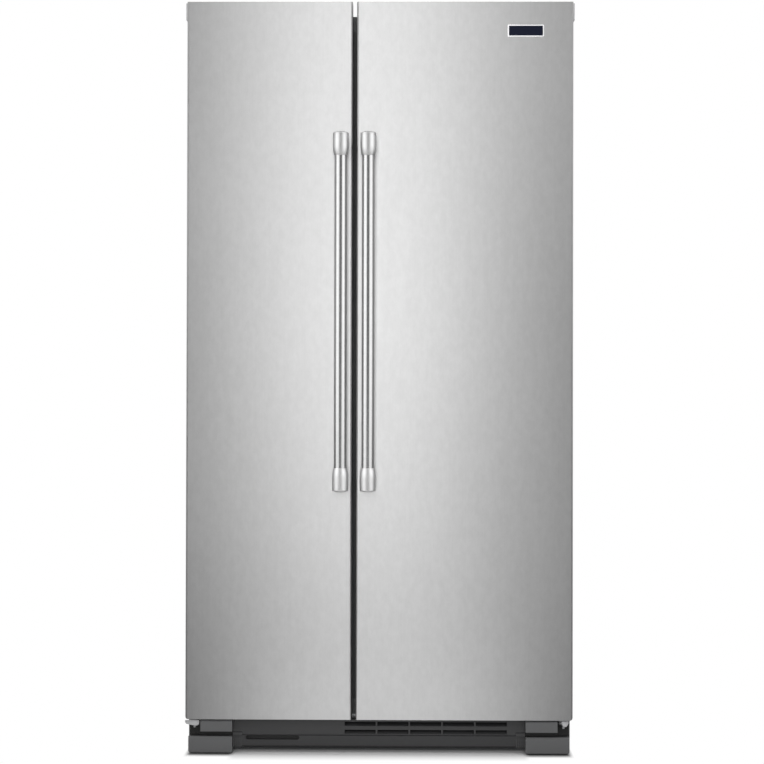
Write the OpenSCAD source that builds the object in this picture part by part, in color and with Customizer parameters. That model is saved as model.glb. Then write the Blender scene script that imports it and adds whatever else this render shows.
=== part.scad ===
// Side by side refrigerator: freezer on the left, fresh food on the right.
// X runs to the right, Y from the front to the back, Z up from the floor.
// Doors and corner parts are drawn from their hinge side and mirrored for the right.

/* [Overall] */
// Width across the two doors
body_w = 900; // [870:2:960]
// Height from the floor to the top of the doors
body_h = 1751; // [1700:1:1850]
// Depth from the handles to the back
body_d = 857; // [830:1:900]
// Height of the doors' lower edge above the floor
door_low = 80; // [78:1:100]
// Gap between the two doors
door_gap = 10; // [6:1:14]
// How far the gap's centre lies left of the middle
split_x = 59; // [40:1:80]

/* [Doors] */
// Thickness of a door without its gasket
door_t = 61.5; // [56:0.5:75]
// Thickness of the stainless wrap
skin_t = 1; // [0.6:0.1:1.5]
// Radius of the rolled front edges
edge_r = 4; // [3:0.5:8]
// Radius of a door's lower outer corner
corner_r = 7; // [3:1:12]
// Radius of the wrap's rear edges
rear_r = 3; // [2:0.5:5]
// Width of the wrap's hem behind the door
hem_w = 9; // [6:1:12]
// Thickness of the moulded inner panel
panel_t = 2; // [1:0.5:3]
// Thickness of the end caps
cap_t = 14; // [8:1:20]
// Depth of an end cap below the wrap's edge
cap_drop = 1; // [0.5:0.5:3]
// Space between a door and the cabinet's face
seal_gap = 10; // [8:0.5:14]
// Width of the gasket
seal_w = 14; // [10:1:16]
// How far the inner panel's frame stands up
dike_h = 35; // [20:1:40]
// Width of that frame
dike_w = 30; // [20:1:36]
// Gap between that frame and the compartment's wall
dike_gap = 8; // [6:1:14]
// How far the corner cheek stands out beside a door
cheek_out = 3; // [1:0.5:4]
// Height of the corner cheek
cheek_h = 38; // [30:1:40]

/* [Handles] */
// Distance from a door's face to the handle's front
handle_out = 67; // [55:1:80]
// Diameter of the handle's bar
bar_d = 28.5; // [22:0.5:32]
// Diameter of the handle's end caps
grip_cap_d = 36.5; // [30:0.5:40]
// Length of an end cap
grip_cap_l = 56; // [45:1:70]
// Height of the handles' lower end above the floor
handle_low = 610; // [500:5:700]
// Height of the handles' upper end above the floor
handle_top = 1443; // [1300:1:1550]
// Distance of the freezer handle's axis from its door's edge
freezer_grip_in = 25.5; // [22:0.5:40]
// Distance of the fridge handle's axis from its door's edge
fridge_grip_in = 28; // [22:0.5:40]
// Distance of a handle's post from the handle's end
post_in = 24; // [19:1:30]
// Diameter of a handle's post
post_d = 27; // [20:1:30]

/* [Badge] */
// Width of the blank plate
badge_w = 84; // [60:1:100]
// Height of the blank plate
badge_h = 28; // [20:1:36]
// Thickness of the blank plate
badge_t = 2.5; // [1.5:0.5:4]
// Distance from the plate's centre to the door's outer edge
badge_side = 111; // [90:1:140]
// Distance from the plate's centre to the door's top
badge_drop = 68; // [50:1:100]

/* [Cabinet] */
// How far the cabinet is narrower than the doors, each side
case_in = 2; // [0.5:0.5:4]
// Thickness of the cabinet's steel
case_t = 1; // [0.6:0.1:1.5]
// Drop from the doors' top to the cabinet's top
case_drop = 23; // [22:1:26]
// Height of the cabinet's lower edge above the floor
case_low = 28; // [24:1:34]
// Width of the flange round the cabinet's face
flange_w = 36; // [32:1:40]
// Thickness of the freezer's outer wall
freezer_wall = 60; // [50:1:70]
// Thickness of the fridge's outer wall
fridge_wall = 48; // [44:1:60]
// Thickness of the wall between the compartments
centre_wall = 64; // [58:1:76]
// Thickness of the cabinet's top
top_wall = 60; // [48:1:70]
// Thickness of the cabinet's back wall
back_wall = 65; // [50:1:75]
// Thickness of the foam under the compartments
floor_wall = 55; // [45:1:60]
// Height of the compartments' floor above the floor of the room
floor_z = 150; // [145:1:165]
// Thickness of the two liners
liner_t = 2; // [1:0.5:3]
// Radius of the liners' long edges
liner_r = 18; // [8:1:26]
// Depth of the back panel's pressed ribs
rib_out = 2; // [1:0.5:3]
// Depth of the machine room at the bottom of the back
machine_d = 238; // [225:1:250]
// Height of the machine room's ceiling above the floor
machine_z = 285; // [275:1:300]

/* [Toe grille] */
// Height of the grille's lower edge above the floor
grille_low = 14; // [8:1:20]
// Distance of the grille's upper edge below its door
grille_gap = 1.5; // [1:0.5:4]
// Distance from the doors' face back to the grille's face
grille_back = 25; // [18:1:50]
// Wall of the grille and the foot covers
grille_t = 3; // [2:0.5:4]
// Height of the ledge between the grille's two bands
ledge_z = 42; // [38:1:46]
// Height of a vent row
vent_h = 10; // [8:1:12]
// Height of the bar between the vent rows
vent_bar = 8.5; // [6:0.5:12]
// Distance between the vents' dividers
vent_pitch = 76.5; // [60:0.5:90]
// Width of a divider
vent_web = 4; // [3:0.5:8]
// Number of vents in a row
vent_count = 5; // [3:1:5]
// Distance from the last vent to the grille's end
vent_end = 40; // [32:1:60]
// Width of the finger slot
slot_w = 125; // [80:1:150]
// Height of the finger slot
slot_h = 10; // [7:1:12]
// Depth of the pocket behind it
slot_deep = 14; // [8:1:20]
// Width of the ribbed block at each end
ribbed_w = 21; // [14:1:26]

/* [Foot covers] */
// Distance from the doors' face back to a foot cover's face
foot_cover_back = 2; // [1:1:12]
// Distance of a foot cover from its door's side
foot_cover_in = 7; // [5:0.5:9]
// Width of a foot cover
foot_cover_w = 102; // [90:1:108]
// Height of the lower block
foot_low_h = 38; // [30:1:40]
// Height of the dark slit above it
foot_slit = 11.5; // [6:0.5:14]
// Depth of that slit
foot_sunk = 28; // [15:1:34]
// Width of the recess that clears the hinge
foot_recess = 28; // [26:1:36]

/* [Hinges] */
// Distance from a door's side to its hinge pin
hinge_x = 20; // [18:0.5:22]
// Distance from a door's face to its hinge pin
hinge_y = 26.5; // [25:0.5:28]
// Radius of the hinge pins
pin_r = 5; // [4:0.5:6]
// Radial clearance of pins and shafts in their bores
run_fit = 0.05; // [0.02:0.01:0.1]
// Thickness of the hinge brackets
arm_t = 4; // [3:0.5:5]
// Length of a hinge pin inside its door
pin_l = 24; // [18:1:28]
// Radius of the hinge arm round its pin
arm_r = 12; // [10:0.5:13]
// Wall of the hinge covers
cover_t = 2; // [1:0.5:2.5]
// Height of the hinge covers
cover_h = 20; // [14:1:22]

/* [Shelves and drawers] */
// Height of the lowest fridge shelf's glass
fridge_shelf_z = 940; // [900:5:960]
// Spacing of the fridge shelves
fridge_shelf_step = 210; // [190:5:220]
// Height of the lowest freezer shelf's glass
freezer_shelf_z = 620; // [600:5:640]
// Spacing of the freezer shelves
freezer_shelf_step = 230; // [200:5:240]
// Thickness of the glass
glass_t = 4; // [3:0.5:6]
// Height of a shelf's frame
frame_h = 14; // [10:1:18]
// Width of a shelf's frame
frame_w = 12; // [10:1:18]
// Distance from the cabinet's face to the shelves' front
shelf_in = 140; // [130:1:170]
// Gap between a shelf and the compartment's walls
shelf_side = 1; // [0.5:0.5:2]
// Distance from the cabinet's face to the drawers' front
drawer_in = 120; // [112:1:130]
// The same for the two lowest drawers
low_drawer_in = 160; // [150:1:170]
// Wall of drawers and bins
tub_t = 3; // [2:0.5:4]
// Width of the rim that a drawer hangs by
rim_w = 9; // [8:1:11]
// Thickness of that rim
rim_t = 4; // [3:0.5:5]
// Sliding gap round a drawer's rim
slide_gap = 0.3; // [0.2:0.05:0.5]
// Height of the upper crisper's cover above the floor
crisper_top_z = 566; // [560:1:580]
// Height of the lower crisper's cover above the floor
crisper_low_z = 342; // [342:1:350]
// Height of the deli drawer's cover above the floor
deli_z = 734; // [725:1:745]
// Height of the deli drawer
deli_h = 118; // [100:1:130]
// Gap between a drawer's bottom and what lies below it
tub_low = 8; // [5:1:14]

/* [Door bins] */
// Depth of a bin
bin_d = 100; // [80:1:105]
// Height of a bin's back
bin_h = 120; // [100:1:130]
// Height of the lowest bins above the floor
bin_low_z = 192; // [190:1:198]
// Drop from the ceiling to the top freezer bin's floor
freezer_bin_drop = 383; // [370:1:390]
// Drop from the ceiling to the top fridge bin's floor
fridge_bin_drop = 458; // [445:1:465]
// Spacing of the upper bins
bin_step = 215; // [200:5:220]
// Drop from the ceiling to the dairy box's floor
dairy_drop = 188; // [180:1:194]
// Height of the dairy box
dairy_h = 106; // [90:1:110]

/* [Controls] */
// Depth of the control housing
control_d = 190; // [150:5:220]
// Height of the control housing
control_h = 52; // [44:1:56]
// Distance from the cabinet's face to the control housing
control_in = 52; // [50:1:60]
// Diameter of a knob
knob_d = 34; // [26:1:38]
// Length of a knob
knob_l = 13; // [8:1:14]
// Radius of a knob's shaft
shaft_r = 3; // [2:0.5:4]
// Radius of a light switch's plunger
plunger_r = 5; // [3:0.5:6]

/* [Feet and rollers] */
// Distance of feet and rollers from a cabinet's side
foot_in = 52; // [46:1:60]
// Distance of the feet behind the cabinet's face
leg_y = 36; // [32:1:50]
// Diameter of a foot
foot_d = 40; // [30:1:46]
// Radius of a foot's stem
stem_r = 5; // [4:0.5:6]
// Radius of a roller
roller_r = 20; // [16:1:22]
// Width of a roller
roller_w = 22; // [16:1:28]
// Radius of a roller's axle
axle_r = 4; // [3:0.5:5]
// Distance of the rollers from the back
roller_in = 70; // [50:1:90]

/* [Machinery] */
// Diameter of the compressor's shell
pot_d = 170; // [150:5:180]
// Height of the compressor's shell
pot_h = 178; // [150:1:190]
// Diameter of the condenser's fan
fan_d = 150; // [130:5:160]
// Diameter of the evaporator's fan
cold_fan_d = 100; // [90:2:110]
// Spacing of the condenser's fins
fin_step = 20; // [16:1:26]
// Spacing of the evaporator's fins
cold_fin_step = 20; // [16:1:24]
// Radius of the refrigerant tubes
tube_r = 4.5; // [4:0.5:5]

/* [Hidden] */
$fn = 48;
eps = 0.01;
// Thin gap between pieces of different bodies that meet face to face
seat = 0.3;

// Heights and depths that the driving sizes give
front_y = -body_d / 2;
back_y = body_d / 2;
face_y = front_y + handle_out;
case_y = face_y + door_t + seal_gap;
case_x = body_w / 2 - case_in;
case_z = body_h - case_drop;
door_h = body_h - door_low;
top_z = case_z - top_wall;
panel_y = back_y - rib_out;
inner_y = panel_y - case_t - back_wall + case_t;
liner_y = case_y + case_t;
foam_y = liner_y + liner_t;

// The step over the machine room
machine_y = panel_y - case_t - machine_d;
hump_y = machine_y - floor_wall;
hump_z = machine_z + floor_wall;
deck_z = floor_z - floor_wall;

// Compartments, left and right faces
freezer_x0 = -case_x + freezer_wall;
freezer_x1 = -split_x - centre_wall / 2;
fridge_x0 = -split_x + centre_wall / 2;
fridge_x1 = case_x - fridge_wall;

// Door widths, and the compartments seen from each door's hinge side
freezer_w = body_w / 2 - split_x - door_gap / 2;
fridge_w = body_w / 2 + split_x - door_gap / 2;
freezer_near = case_in + freezer_wall;
fridge_near = case_in + fridge_wall;
wall_far = door_gap / 2 - centre_wall / 2;

// The grille fills the width between the foot covers
grille_w = body_w - 2 * (foot_cover_in + foot_cover_w + 0.5);
vent_start = vent_count * vent_pitch + vent_end - grille_w / 2;

// Door panel levels
panel_back = door_t - skin_t;
foam_back = panel_back - panel_t;
dike_back = panel_back + dike_h;
dike_low = floor_z - door_low + dike_gap;
dike_top = top_z - door_low - dike_gap;

// Gasket outline, measured inside a door
seal_hinge = hinge_x + 2;
seal_free = centre_wall / 2 - door_gap / 2 - seal_w - 1;
seal_low = seal_w + 6;
seal_top = case_drop + seal_hinge - case_in;

// Hinge corner
arm_lean = [62, 63.5 + hinge_y];
nose_r = arm_r + 1 + cover_t;
pocket_front = hinge_y - nose_r - 2;
pocket_w = arm_lean[0] + 4;
pocket_z = case_z - 2 - door_low;
block_w = pocket_w + 10;
block_h = pin_l + 12;
bore_r = pin_r + run_fit;
screw_r = 2.5;
head_r = 5.5;
head_h = 4;
washer_t = 4;

// Handles
grip_y = -handle_out + grip_cap_d / 2;
seam_in = 8;
seam_w = 1;
dome_r = grip_cap_d / 2;

// Drawers and their covers
runner_h = frame_h - 2;
foot_t = 3;
drawer_y = case_y + drawer_in;
low_drawer_y = case_y + low_drawer_in;
drawer_back = inner_y - 55;
short_back = hump_y - 8;
shelf_y = case_y + shelf_in;
cover_side = shelf_side;
runner_in = 3;
cold_d = 70;
cold_y = inner_y - cold_d;

// ---- Shared forms ----

// A box between two opposite corners
module block(low, high) {
    translate(low) cube(high - low);
}

// A rectangle with round corners, its low corner on the origin
module round_rect(w, h, r) {
    translate([r, 0]) square([w - 2 * r, h]);
    translate([0, r]) square([w, h - 2 * r]);
    for (x = [r, w - r], y = [r, h - r]) translate([x, y]) circle(r);
}

// A flat shape in X and Z, extruded towards the back from depth y
module upright(y, depth) {
    translate([0, y + depth, 0]) rotate([90, 0, 0]) linear_extrude(depth) children();
}

// A flat shape in Y and Z, extruded along X from x
module sideways(x, length) {
    translate([x, 0, 0]) rotate([90, 0, 90]) linear_extrude(length) children();
}

// A cylinder along Y from depth y
module rod_y(x, y, z, r, length) {
    translate([x, y, z]) rotate([-90, 0, 0]) cylinder(r = r, h = length);
}

// A cylinder along X from x
module rod_x(x, y, z, r, length) {
    translate([x, y, z]) rotate([0, 90, 0]) cylinder(r = r, h = length);
}

// Places a left corner or door drawn from its hinge side, from the floor up
module at_left() {
    translate([-body_w / 2, face_y, 0]) children();
}

// Places the mirrored right one
module at_right() {
    translate([body_w / 2, face_y, 0]) mirror([1, 0, 0]) children();
}

module at_both() {
    at_left() children();
    at_right() children();
}

// ---- Doors, drawn from the hinge side ----

// Plan of a door: face on Y = 0, rolled front edges
module door_plan(w, depth, front_r, back_r) {
    translate([front_r, 0]) square([w - 2 * front_r, depth - back_r]);
    translate([0, front_r]) square([w, depth - front_r - back_r]);
    translate([back_r, front_r]) square([w - 2 * back_r, depth - front_r]);
    for (x = [front_r, w - front_r]) translate([x, front_r]) circle(front_r);
    for (x = [back_r, w - back_r]) translate([x, depth - back_r]) circle(back_r);
}

// The same plan inside the wrap
module inner_plan(w) {
    translate([skin_t, skin_t])
        door_plan(w - 2 * skin_t, door_t - 2 * skin_t, edge_r - skin_t, rear_r - skin_t);
}

// The corner that the top hinge's arm and cover stand in
module hinge_pocket() {
    block([-cheek_out - 1, pocket_front, pocket_z], [pocket_w, door_t + 1, door_h + 1]);
}

// The cheek's place beside the door, and its notch in the wrap
module cheek(out, y1) {
    low = door_h - cheek_h - 3;
    block([-out, edge_r + 1, low], [skin_t + 2, y1, low + cheek_h]);
}

// What the round lower outer corner takes away
module lower_corner() {
    difference() {
        block([-1, -1, -1], [corner_r, door_t + 1, corner_r]);
        rod_y(corner_r, -2, corner_r, corner_r, door_t + 4);
    }
}

// The space of a hinge block, which foam and inner panel leave free
module hinge_blocks() {
    block([-1, -1, pocket_z - block_h], [block_w, door_t + 1, door_h + 1]);
    block([-1, -1, -1], [block_w, door_t + 1, block_h]);
}

module door_skin(w) {
    difference() {
        linear_extrude(door_h) difference() {
            door_plan(w, door_t, edge_r, rear_r);
            inner_plan(w);
            translate([hem_w, door_t - skin_t - eps]) square([w - 2 * hem_w, skin_t + 1]);
        }
        hinge_pocket();
        lower_corner();
        cheek(1, pocket_front + 30);
    }
}

// Everything inside the wrap between the end caps, up to depth y1
module door_core(w, y1) {
    difference() {
        translate([0, 0, cap_t]) linear_extrude(door_h - 2 * cap_t) intersection() {
            inner_plan(w);
            square([w, y1]);
        }
        hinge_blocks();
    }
}

// The raised frame inside a compartment's mouth, grown by g, from depth y
module dike(w, near, g, y) {
    x0 = near + dike_gap - g;
    x1 = w + wall_far - dike_gap + g;
    z0 = dike_low - g;
    z1 = dike_top + g;
    upright(y, dike_back - y + g) difference() {
        translate([x0, z0]) round_rect(x1 - x0, z1 - z0, dike_w / 2);
        translate([x0 + dike_w + 2 * g, z0 + dike_w + 2 * g])
            round_rect(x1 - x0 - 2 * dike_w - 4 * g, z1 - z0 - 2 * dike_w - 4 * g, dike_w / 10);
    }
}

module door_foam(w, near) {
    door_core(w, foam_back);
    dike(w, near, -panel_t, foam_back - eps);
}

module door_liner(w, near) {
    difference() {
        union() {
            difference() {
                door_core(w, panel_back);
                translate([0, -1, 0]) cube([w, foam_back + 1, door_h]);
            }
            dike(w, near, 0, foam_back);
            bin_lugs(w, near);
        }
        dike(w, near, -panel_t, foam_back - 1);
    }
}

// Lugs inside the raised frame that the bins hang on
module bin_lugs(w, near) {
    x0 = near + dike_gap + dike_w;
    x1 = w + wall_far - dike_gap - dike_w;
    for (z = w == freezer_w ? freezer_bins : fridge_bins, x = [x0 - eps, x1 - lug_out + eps])
        block([x, panel_back + 8, z - door_low + lug_low],
            [x + lug_out, dike_back - 8, z - door_low + lug_low + lug_h]);
}

module door_gasket(w) {
    x1 = w - seal_free;
    z1 = door_h - seal_top;
    base = 3;
    // a narrow foot on the door, a wide magnet bulb on the cabinet
    seal_ring([seal_hinge + base, seal_low + base], [x1 - base, z1 - base], seal_w - 2 * base,
        panel_back, base);
    seal_ring([seal_hinge, seal_low], [x1, z1], seal_w, panel_back + base - eps,
        door_t + seal_gap - seat - panel_back - base + eps);
}

module seal_ring(low, high, wide, y, depth) {
    r = 6;
    size = high - low;
    upright(y, depth) difference() {
        translate(low) round_rect(size[0], size[1], r);
        translate(low + [wide, wide])
            round_rect(size[0] - 2 * wide, size[1] - 2 * wide, r / 2);
    }
}

module door_caps(w) {
    // top cap with its hinge block, pocket and corner cheek
    difference() {
        union() {
            translate([0, 0, door_h - cap_t]) linear_extrude(cap_t - cap_drop) inner_plan(w);
            hinge_block(w, pocket_z - block_h, door_h - cap_drop);
            cheek(cheek_out, pocket_front + 30);
        }
        hinge_pocket();
        translate([hinge_x, hinge_y, pocket_z - pin_l - 4]) cylinder(r = bore_r, h = pin_l + 5);
    }
    // bottom cap
    difference() {
        union() {
            translate([0, 0, cap_drop]) linear_extrude(cap_t - cap_drop) inner_plan(w);
            hinge_block(w, cap_drop, block_h);
        }
        translate([hinge_x, hinge_y, cap_drop - 1]) cylinder(r = bore_r, h = pin_l + 5);
        lower_corner();
    }
}

module hinge_block(w, z0, z1) {
    translate([0, 0, z0]) linear_extrude(z1 - z0) intersection() {
        inner_plan(w);
        square([block_w, panel_back]);
    }
}

// ---- Handles ----

// Half of a cap's outline from its domed end (z = 0) to the bar
module cap_profile() {
    r = grip_cap_d / 2;
    dome = 3.5;
    taper = 22;
    polygon([
        [0, 0],
        for (k = [0.2:0.2:1]) [(r - 1) * k, dome * k * k],
        [r, dome + 1.2],
        [r, seam_in],
        [r - seam_w, seam_in],
        [r - seam_w, seam_in + seam_w],
        [r, seam_in + seam_w],
        [r, grip_cap_l - taper],
        for (t = [0.2:0.2:1]) [r - (r - bar_d / 2 - 0.9) * t * t, grip_cap_l - taper + taper * t],
        [0, grip_cap_l],
    ]);
}

// A cap with the post that carries it, standing on its domed end
module handle_cap() {
    difference() {
        union() {
            rotate_extrude($fn = 64) cap_profile();
            rod_y(0, 0, post_in, post_d / 2, -grip_y - 4);
            rod_y(0, -grip_y - 4, post_in, post_d / 2 + 2, 4);
        }
        translate([0, 0, grip_cap_l - bar_seat]) cylinder(r = bar_d / 2 - 2, h = bar_seat + 1);
    }
}

module handle_caps(w, inset) {
    translate([w - inset, grip_y, handle_low - door_low]) handle_cap();
    translate([w - inset, grip_y, handle_top - door_low]) mirror([0, 0, 1]) handle_cap();
}

// The bar, turned down at both ends where it enters the caps
module handle_bar(w, inset) {
    low = handle_low - door_low + grip_cap_l;
    high = handle_top - door_low - grip_cap_l;
    translate([w - inset, grip_y, 0]) {
        translate([0, 0, low]) cylinder(r = bar_d / 2, h = high - low, $fn = 64);
        translate([0, 0, low - bar_seat])
            cylinder(r = bar_d / 2 - 2, h = high - low + 2 * bar_seat);
    }
}

bar_seat = 10;

// ---- Door bins ----

lug_out = 4;
lug_h = 8;
lug_low = 60;
bin_side = 0.5;

// Bin heights above the floor of the room
freezer_bins = [bin_low_z, for (i = [3:-1:0]) top_z - freezer_bin_drop - i * bin_step];
fridge_bins = [bin_low_z, for (i = [2:-1:0]) top_z - fridge_bin_drop - i * bin_step];

// Side view of a bin: upright back, sloping front with a round toe
module bin_profile(depth, h, front_h, g) {
    toe = 14;
    lean = 8;
    polygon([
        [g, g],
        for (a = [-90:22.5:0]) [depth - lean - toe + (toe - g) * cos(a), toe + (toe - g) * sin(a)],
        [depth - g, front_h],
        [depth - g, h + 1],
        [g, h + 1],
    ]);
}

// An open tub along X, cut from back height h to front height front_h
module tub(x0, x1, depth, h, front_h) {
    difference() {
        sideways(x0, x1 - x0) bin_profile(depth, h, front_h, 0);
        sideways(x0 + tub_t, x1 - x0 - 2 * tub_t) bin_profile(depth, h, front_h, tub_t);
        sideways(x0 - 1, x1 - x0 + 2) polygon([
            [-1, h], [depth * 0.45, h], [depth * 0.6, front_h], [depth + 1, front_h],
            [depth + 1, h + 2], [-1, h + 2],
        ]);
    }
}

// Bins that hang on the raised frame's lugs
module door_bins(w, near, levels, front_h) {
    x0 = near + dike_gap + dike_w + bin_side;
    x1 = w + wall_far - dike_gap - dike_w - bin_side;
    for (z = levels) difference() {
        translate([0, panel_back + seat, z - door_low]) tub(x0, x1, bin_d, bin_h, front_h);
        for (x = [x0 - 1, x1 - lug_out])
            block([x, panel_back + 8 - seat, z - door_low + lug_low - 20],
                [x + lug_out + 1, dike_back - 8 + seat, z - door_low + lug_low + lug_h + seat]);
    }
}

// ---- Freezer door ----

module at_freezer_door() {
    at_left() translate([0, 0, door_low]) children();
}

module at_fridge_door() {
    at_right() translate([0, 0, door_low]) children();
}

module freezer_door_skin() {
    color("silver") at_freezer_door() door_skin(freezer_w);
}

module freezer_door_foam() {
    color("khaki") at_freezer_door() door_foam(freezer_w, freezer_near);
}

module freezer_door_liner() {
    color("white") at_freezer_door() door_liner(freezer_w, freezer_near);
}

module freezer_door_gasket() {
    color("dimgray") at_freezer_door() door_gasket(freezer_w);
}

module freezer_door_caps() {
    color("darkgray") at_freezer_door() door_caps(freezer_w);
}

module freezer_handle_bar() {
    color("gainsboro") at_freezer_door() handle_bar(freezer_w, freezer_grip_in);
}

module freezer_handle_caps() {
    color("silver") at_freezer_door() handle_caps(freezer_w, freezer_grip_in);
}

module freezer_door_bins() {
    color("aliceblue") at_freezer_door() door_bins(freezer_w, freezer_near, freezer_bins, 78);
}

// ---- Fridge door ----

module fridge_door_skin() {
    color("silver") at_fridge_door() door_skin(fridge_w);
}

module fridge_door_foam() {
    color("khaki") at_fridge_door() door_foam(fridge_w, fridge_near);
}

module fridge_door_liner() {
    color("white") at_fridge_door() door_liner(fridge_w, fridge_near);
}

module fridge_door_gasket() {
    color("dimgray") at_fridge_door() door_gasket(fridge_w);
}

module fridge_door_caps() {
    color("darkgray") at_fridge_door() door_caps(fridge_w);
}

module fridge_handle_bar() {
    color("gainsboro") at_fridge_door() handle_bar(fridge_w, fridge_grip_in);
}

module fridge_handle_caps() {
    color("silver") at_fridge_door() handle_caps(fridge_w, fridge_grip_in);
}

// Bins, and the dairy box above them
module fridge_door_bins() {
    color("aliceblue") at_fridge_door() {
        door_bins(fridge_w, fridge_near, fridge_bins, 84);
        dairy_box();
    }
}

dairy_x0 = fridge_near + dike_gap + dike_w + bin_side;
dairy_x1 = fridge_w + wall_far - dike_gap - dike_w - bin_side;
dairy_y0 = panel_back + seat;
dairy_low = top_z - dairy_drop - door_low;
dairy_pin_r = 3;
dairy_pin_y = dairy_y0 + bin_d - 8;
dairy_pin_z = dairy_low + dairy_h - 8;

module dairy_box() {
    difference() {
        block([dairy_x0, dairy_y0, dairy_low],
            [dairy_x1, dairy_y0 + bin_d - 4, dairy_low + dairy_h]);
        block([dairy_x0 + tub_t, dairy_y0 + tub_t, dairy_low + tub_t],
            [dairy_x1 - tub_t, dairy_y0 + bin_d, dairy_low + dairy_h - tub_t]);
        // the top is open above the cover's pivot
        block([dairy_x0 + tub_t, dairy_pin_y - 12, dairy_low + dairy_h - tub_t - 1],
            [dairy_x1 - tub_t, dairy_y0 + bin_d, dairy_low + dairy_h + 1]);
        rod_x(dairy_x0 - 1, dairy_pin_y, dairy_pin_z, dairy_pin_r + run_fit,
            dairy_x1 - dairy_x0 + 2);
    }
}

// The clear flip cover on its two stub pins
module dairy_cover() {
    x0 = dairy_x0 + tub_t + seat;
    x1 = dairy_x1 - tub_t - seat;
    color("lightcyan") at_fridge_door() {
        difference() {
            union() {
                block([x0, dairy_pin_y - 2, dairy_low + tub_t + 1], [x1, dairy_pin_y + 2, dairy_pin_z]);
                rod_x(x0, dairy_pin_y, dairy_pin_z, 5, x1 - x0);
                // finger lip along the lower edge
                block([x0 + 60, dairy_pin_y + 1, dairy_low + tub_t + 1],
                    [x1 - 60, dairy_pin_y + 9, dairy_low + tub_t + 4]);
            }
        }
        rod_x(dairy_x0, dairy_pin_y, dairy_pin_z, dairy_pin_r, dairy_x1 - dairy_x0);
    }
}

// The blank plate: a bevelled frame round a sunk field
module badge_plate() {
    rim = 2.5;
    sink = 0.8;
    color("silver") at_fridge_door()
        translate([badge_side - badge_w / 2, 0, door_h - badge_drop - badge_h / 2])
        difference() {
            upright(-badge_t, badge_t) round_rect(badge_w, badge_h, 2);
            translate([rim, 0, rim]) upright(-badge_t - 1, sink + 1)
                round_rect(badge_w - 2 * rim, badge_h - 2 * rim, 1);
        }
}

// ---- Cabinet ----

module outer_case() {
    x = case_x;
    sill = door_low + 4;
    color("dimgray") difference() {
        union() {
            // wrapper: two sides and the top
            upright(case_y, panel_y - case_t - case_y) difference() {
                case_outline(0);
                case_outline(case_t);
                translate([-x - 1, case_low - 1]) square([2 * x + 2, 1]);
            }
            // face: flange, cross rail and side strips
            upright(case_y, case_t) difference() {
                case_outline(0);
                translate([-x + flange_w, sill + flange_w])
                    square([2 * x - 2 * flange_w, case_z - 2 * flange_w - sill]);
                translate([-x + flange_w, case_low - 1])
                    square([2 * x - 2 * flange_w, sill - case_low + 1]);
            }
        }
        at_both() screw_holes(case_z - case_t - 1);
    }
}

// Outline of the cabinet from the front, shrunk by g
module case_outline(g) {
    x = case_x - g;
    r = 8;
    top = case_z - g;
    translate([-x, case_low]) square([2 * x, top - case_low - r]);
    translate([-x + r, case_low]) square([2 * x - 2 * r, top - case_low]);
    for (side = [-1, 1]) translate([side * (x - r), top - r]) circle(r);
}

// Sheet over the back, stiffened by pressed ribs
module back_panel() {
    ribs = 5;
    low = machine_z - 6;
    pitch = 2 * case_x / ribs;
    color("darkgray") {
        block([-case_x, panel_y - case_t, low], [case_x, panel_y, case_z - 1]);
        for (i = [0:ribs - 1])
            upright(panel_y - eps, rib_out + eps)
                translate([-case_x + (i + 0.5) * pitch - 26, low + 60])
                    round_rect(52, case_z - low - 130, 12);
    }
}

hump_cut = 10;

// Side view of a compartment, grown by g, with the step over the machine room
module room_profile(g) {
    polygon([
        [liner_y - 20, floor_z - g], [hump_y + g - hump_cut, floor_z - g],
        [hump_y + g, floor_z - g + hump_cut],
        [hump_y + g, hump_z - g - 30], [hump_y + g + 30, hump_z - g], [inner_y + g, hump_z - g],
        [inner_y + g, top_z + g], [liner_y - 20, top_z + g],
    ]);
}

// A compartment's space between x0 and x1, grown by g, with round long edges
module room(x0, x1, g) {
    intersection() {
        sideways(x0 - g, x1 - x0 + 2 * g) room_profile(g);
        upright(liner_y - 30, inner_y - liner_y + 60)
            translate([x0 - g, floor_z - g])
                round_rect(x1 - x0 + 2 * g, top_z - floor_z + 2 * g, liner_r + g);
    }
}

// Foam that fills the cabinet's walls round both liners
module cabinet_foam() {
    color("khaki") difference() {
        upright(foam_y, panel_y - case_t - foam_y) intersection() {
            case_outline(case_t);
            translate([-case_x, deck_z]) square([2 * case_x, case_z]);
        }
        room(freezer_x0, freezer_x1, liner_t);
        room(fridge_x0, fridge_x1, liner_t);
        block([-case_x, machine_y, 0], [case_x, back_y, machine_z]);
    }
}

// A liner: thin shell with a flange behind the cabinet's face
module liner(x0, x1, flange_x0, flange_x1) {
    difference() {
        union() {
            intersection() {
                room(x0, x1, liner_t);
                block([x0 - 50, liner_y, 0], [x1 + 50, back_y, body_h]);
            }
            upright(liner_y, liner_t) intersection() {
                case_outline(case_t);
                translate([flange_x0, deck_z]) square([flange_x1 - flange_x0, case_z]);
            }
        }
        room(x0, x1, 0);
    }
}

rail_out = 7;
rail_t = 5;

// A pair of moulded side rails with their upper faces at height z
module side_rails(x0, x1, y0, y1, z) {
    for (x = [x0 - eps, x1 - rail_out + eps]) block([x, y0, z - rail_t], [x + rail_out, y1, z]);
}

module freezer_liner() {
    color("white") {
        liner(freezer_x0, freezer_x1, -case_x, -split_x - seat / 2);
        for (i = [0:3])
            side_rails(freezer_x0, freezer_x1, shelf_y + 10, cold_y - 10,
                freezer_shelf_z + glass_t - frame_h + i * freezer_shelf_step);
        side_rails(freezer_x0, freezer_x1, shelf_y + 10, cold_y - 10,
            basket_top_z - rim_t - slide_gap);
        side_rails(freezer_x0, freezer_x1, low_drawer_y + 4, short_back,
            basket_low_z - rim_t - slide_gap);
    }
}

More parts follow.
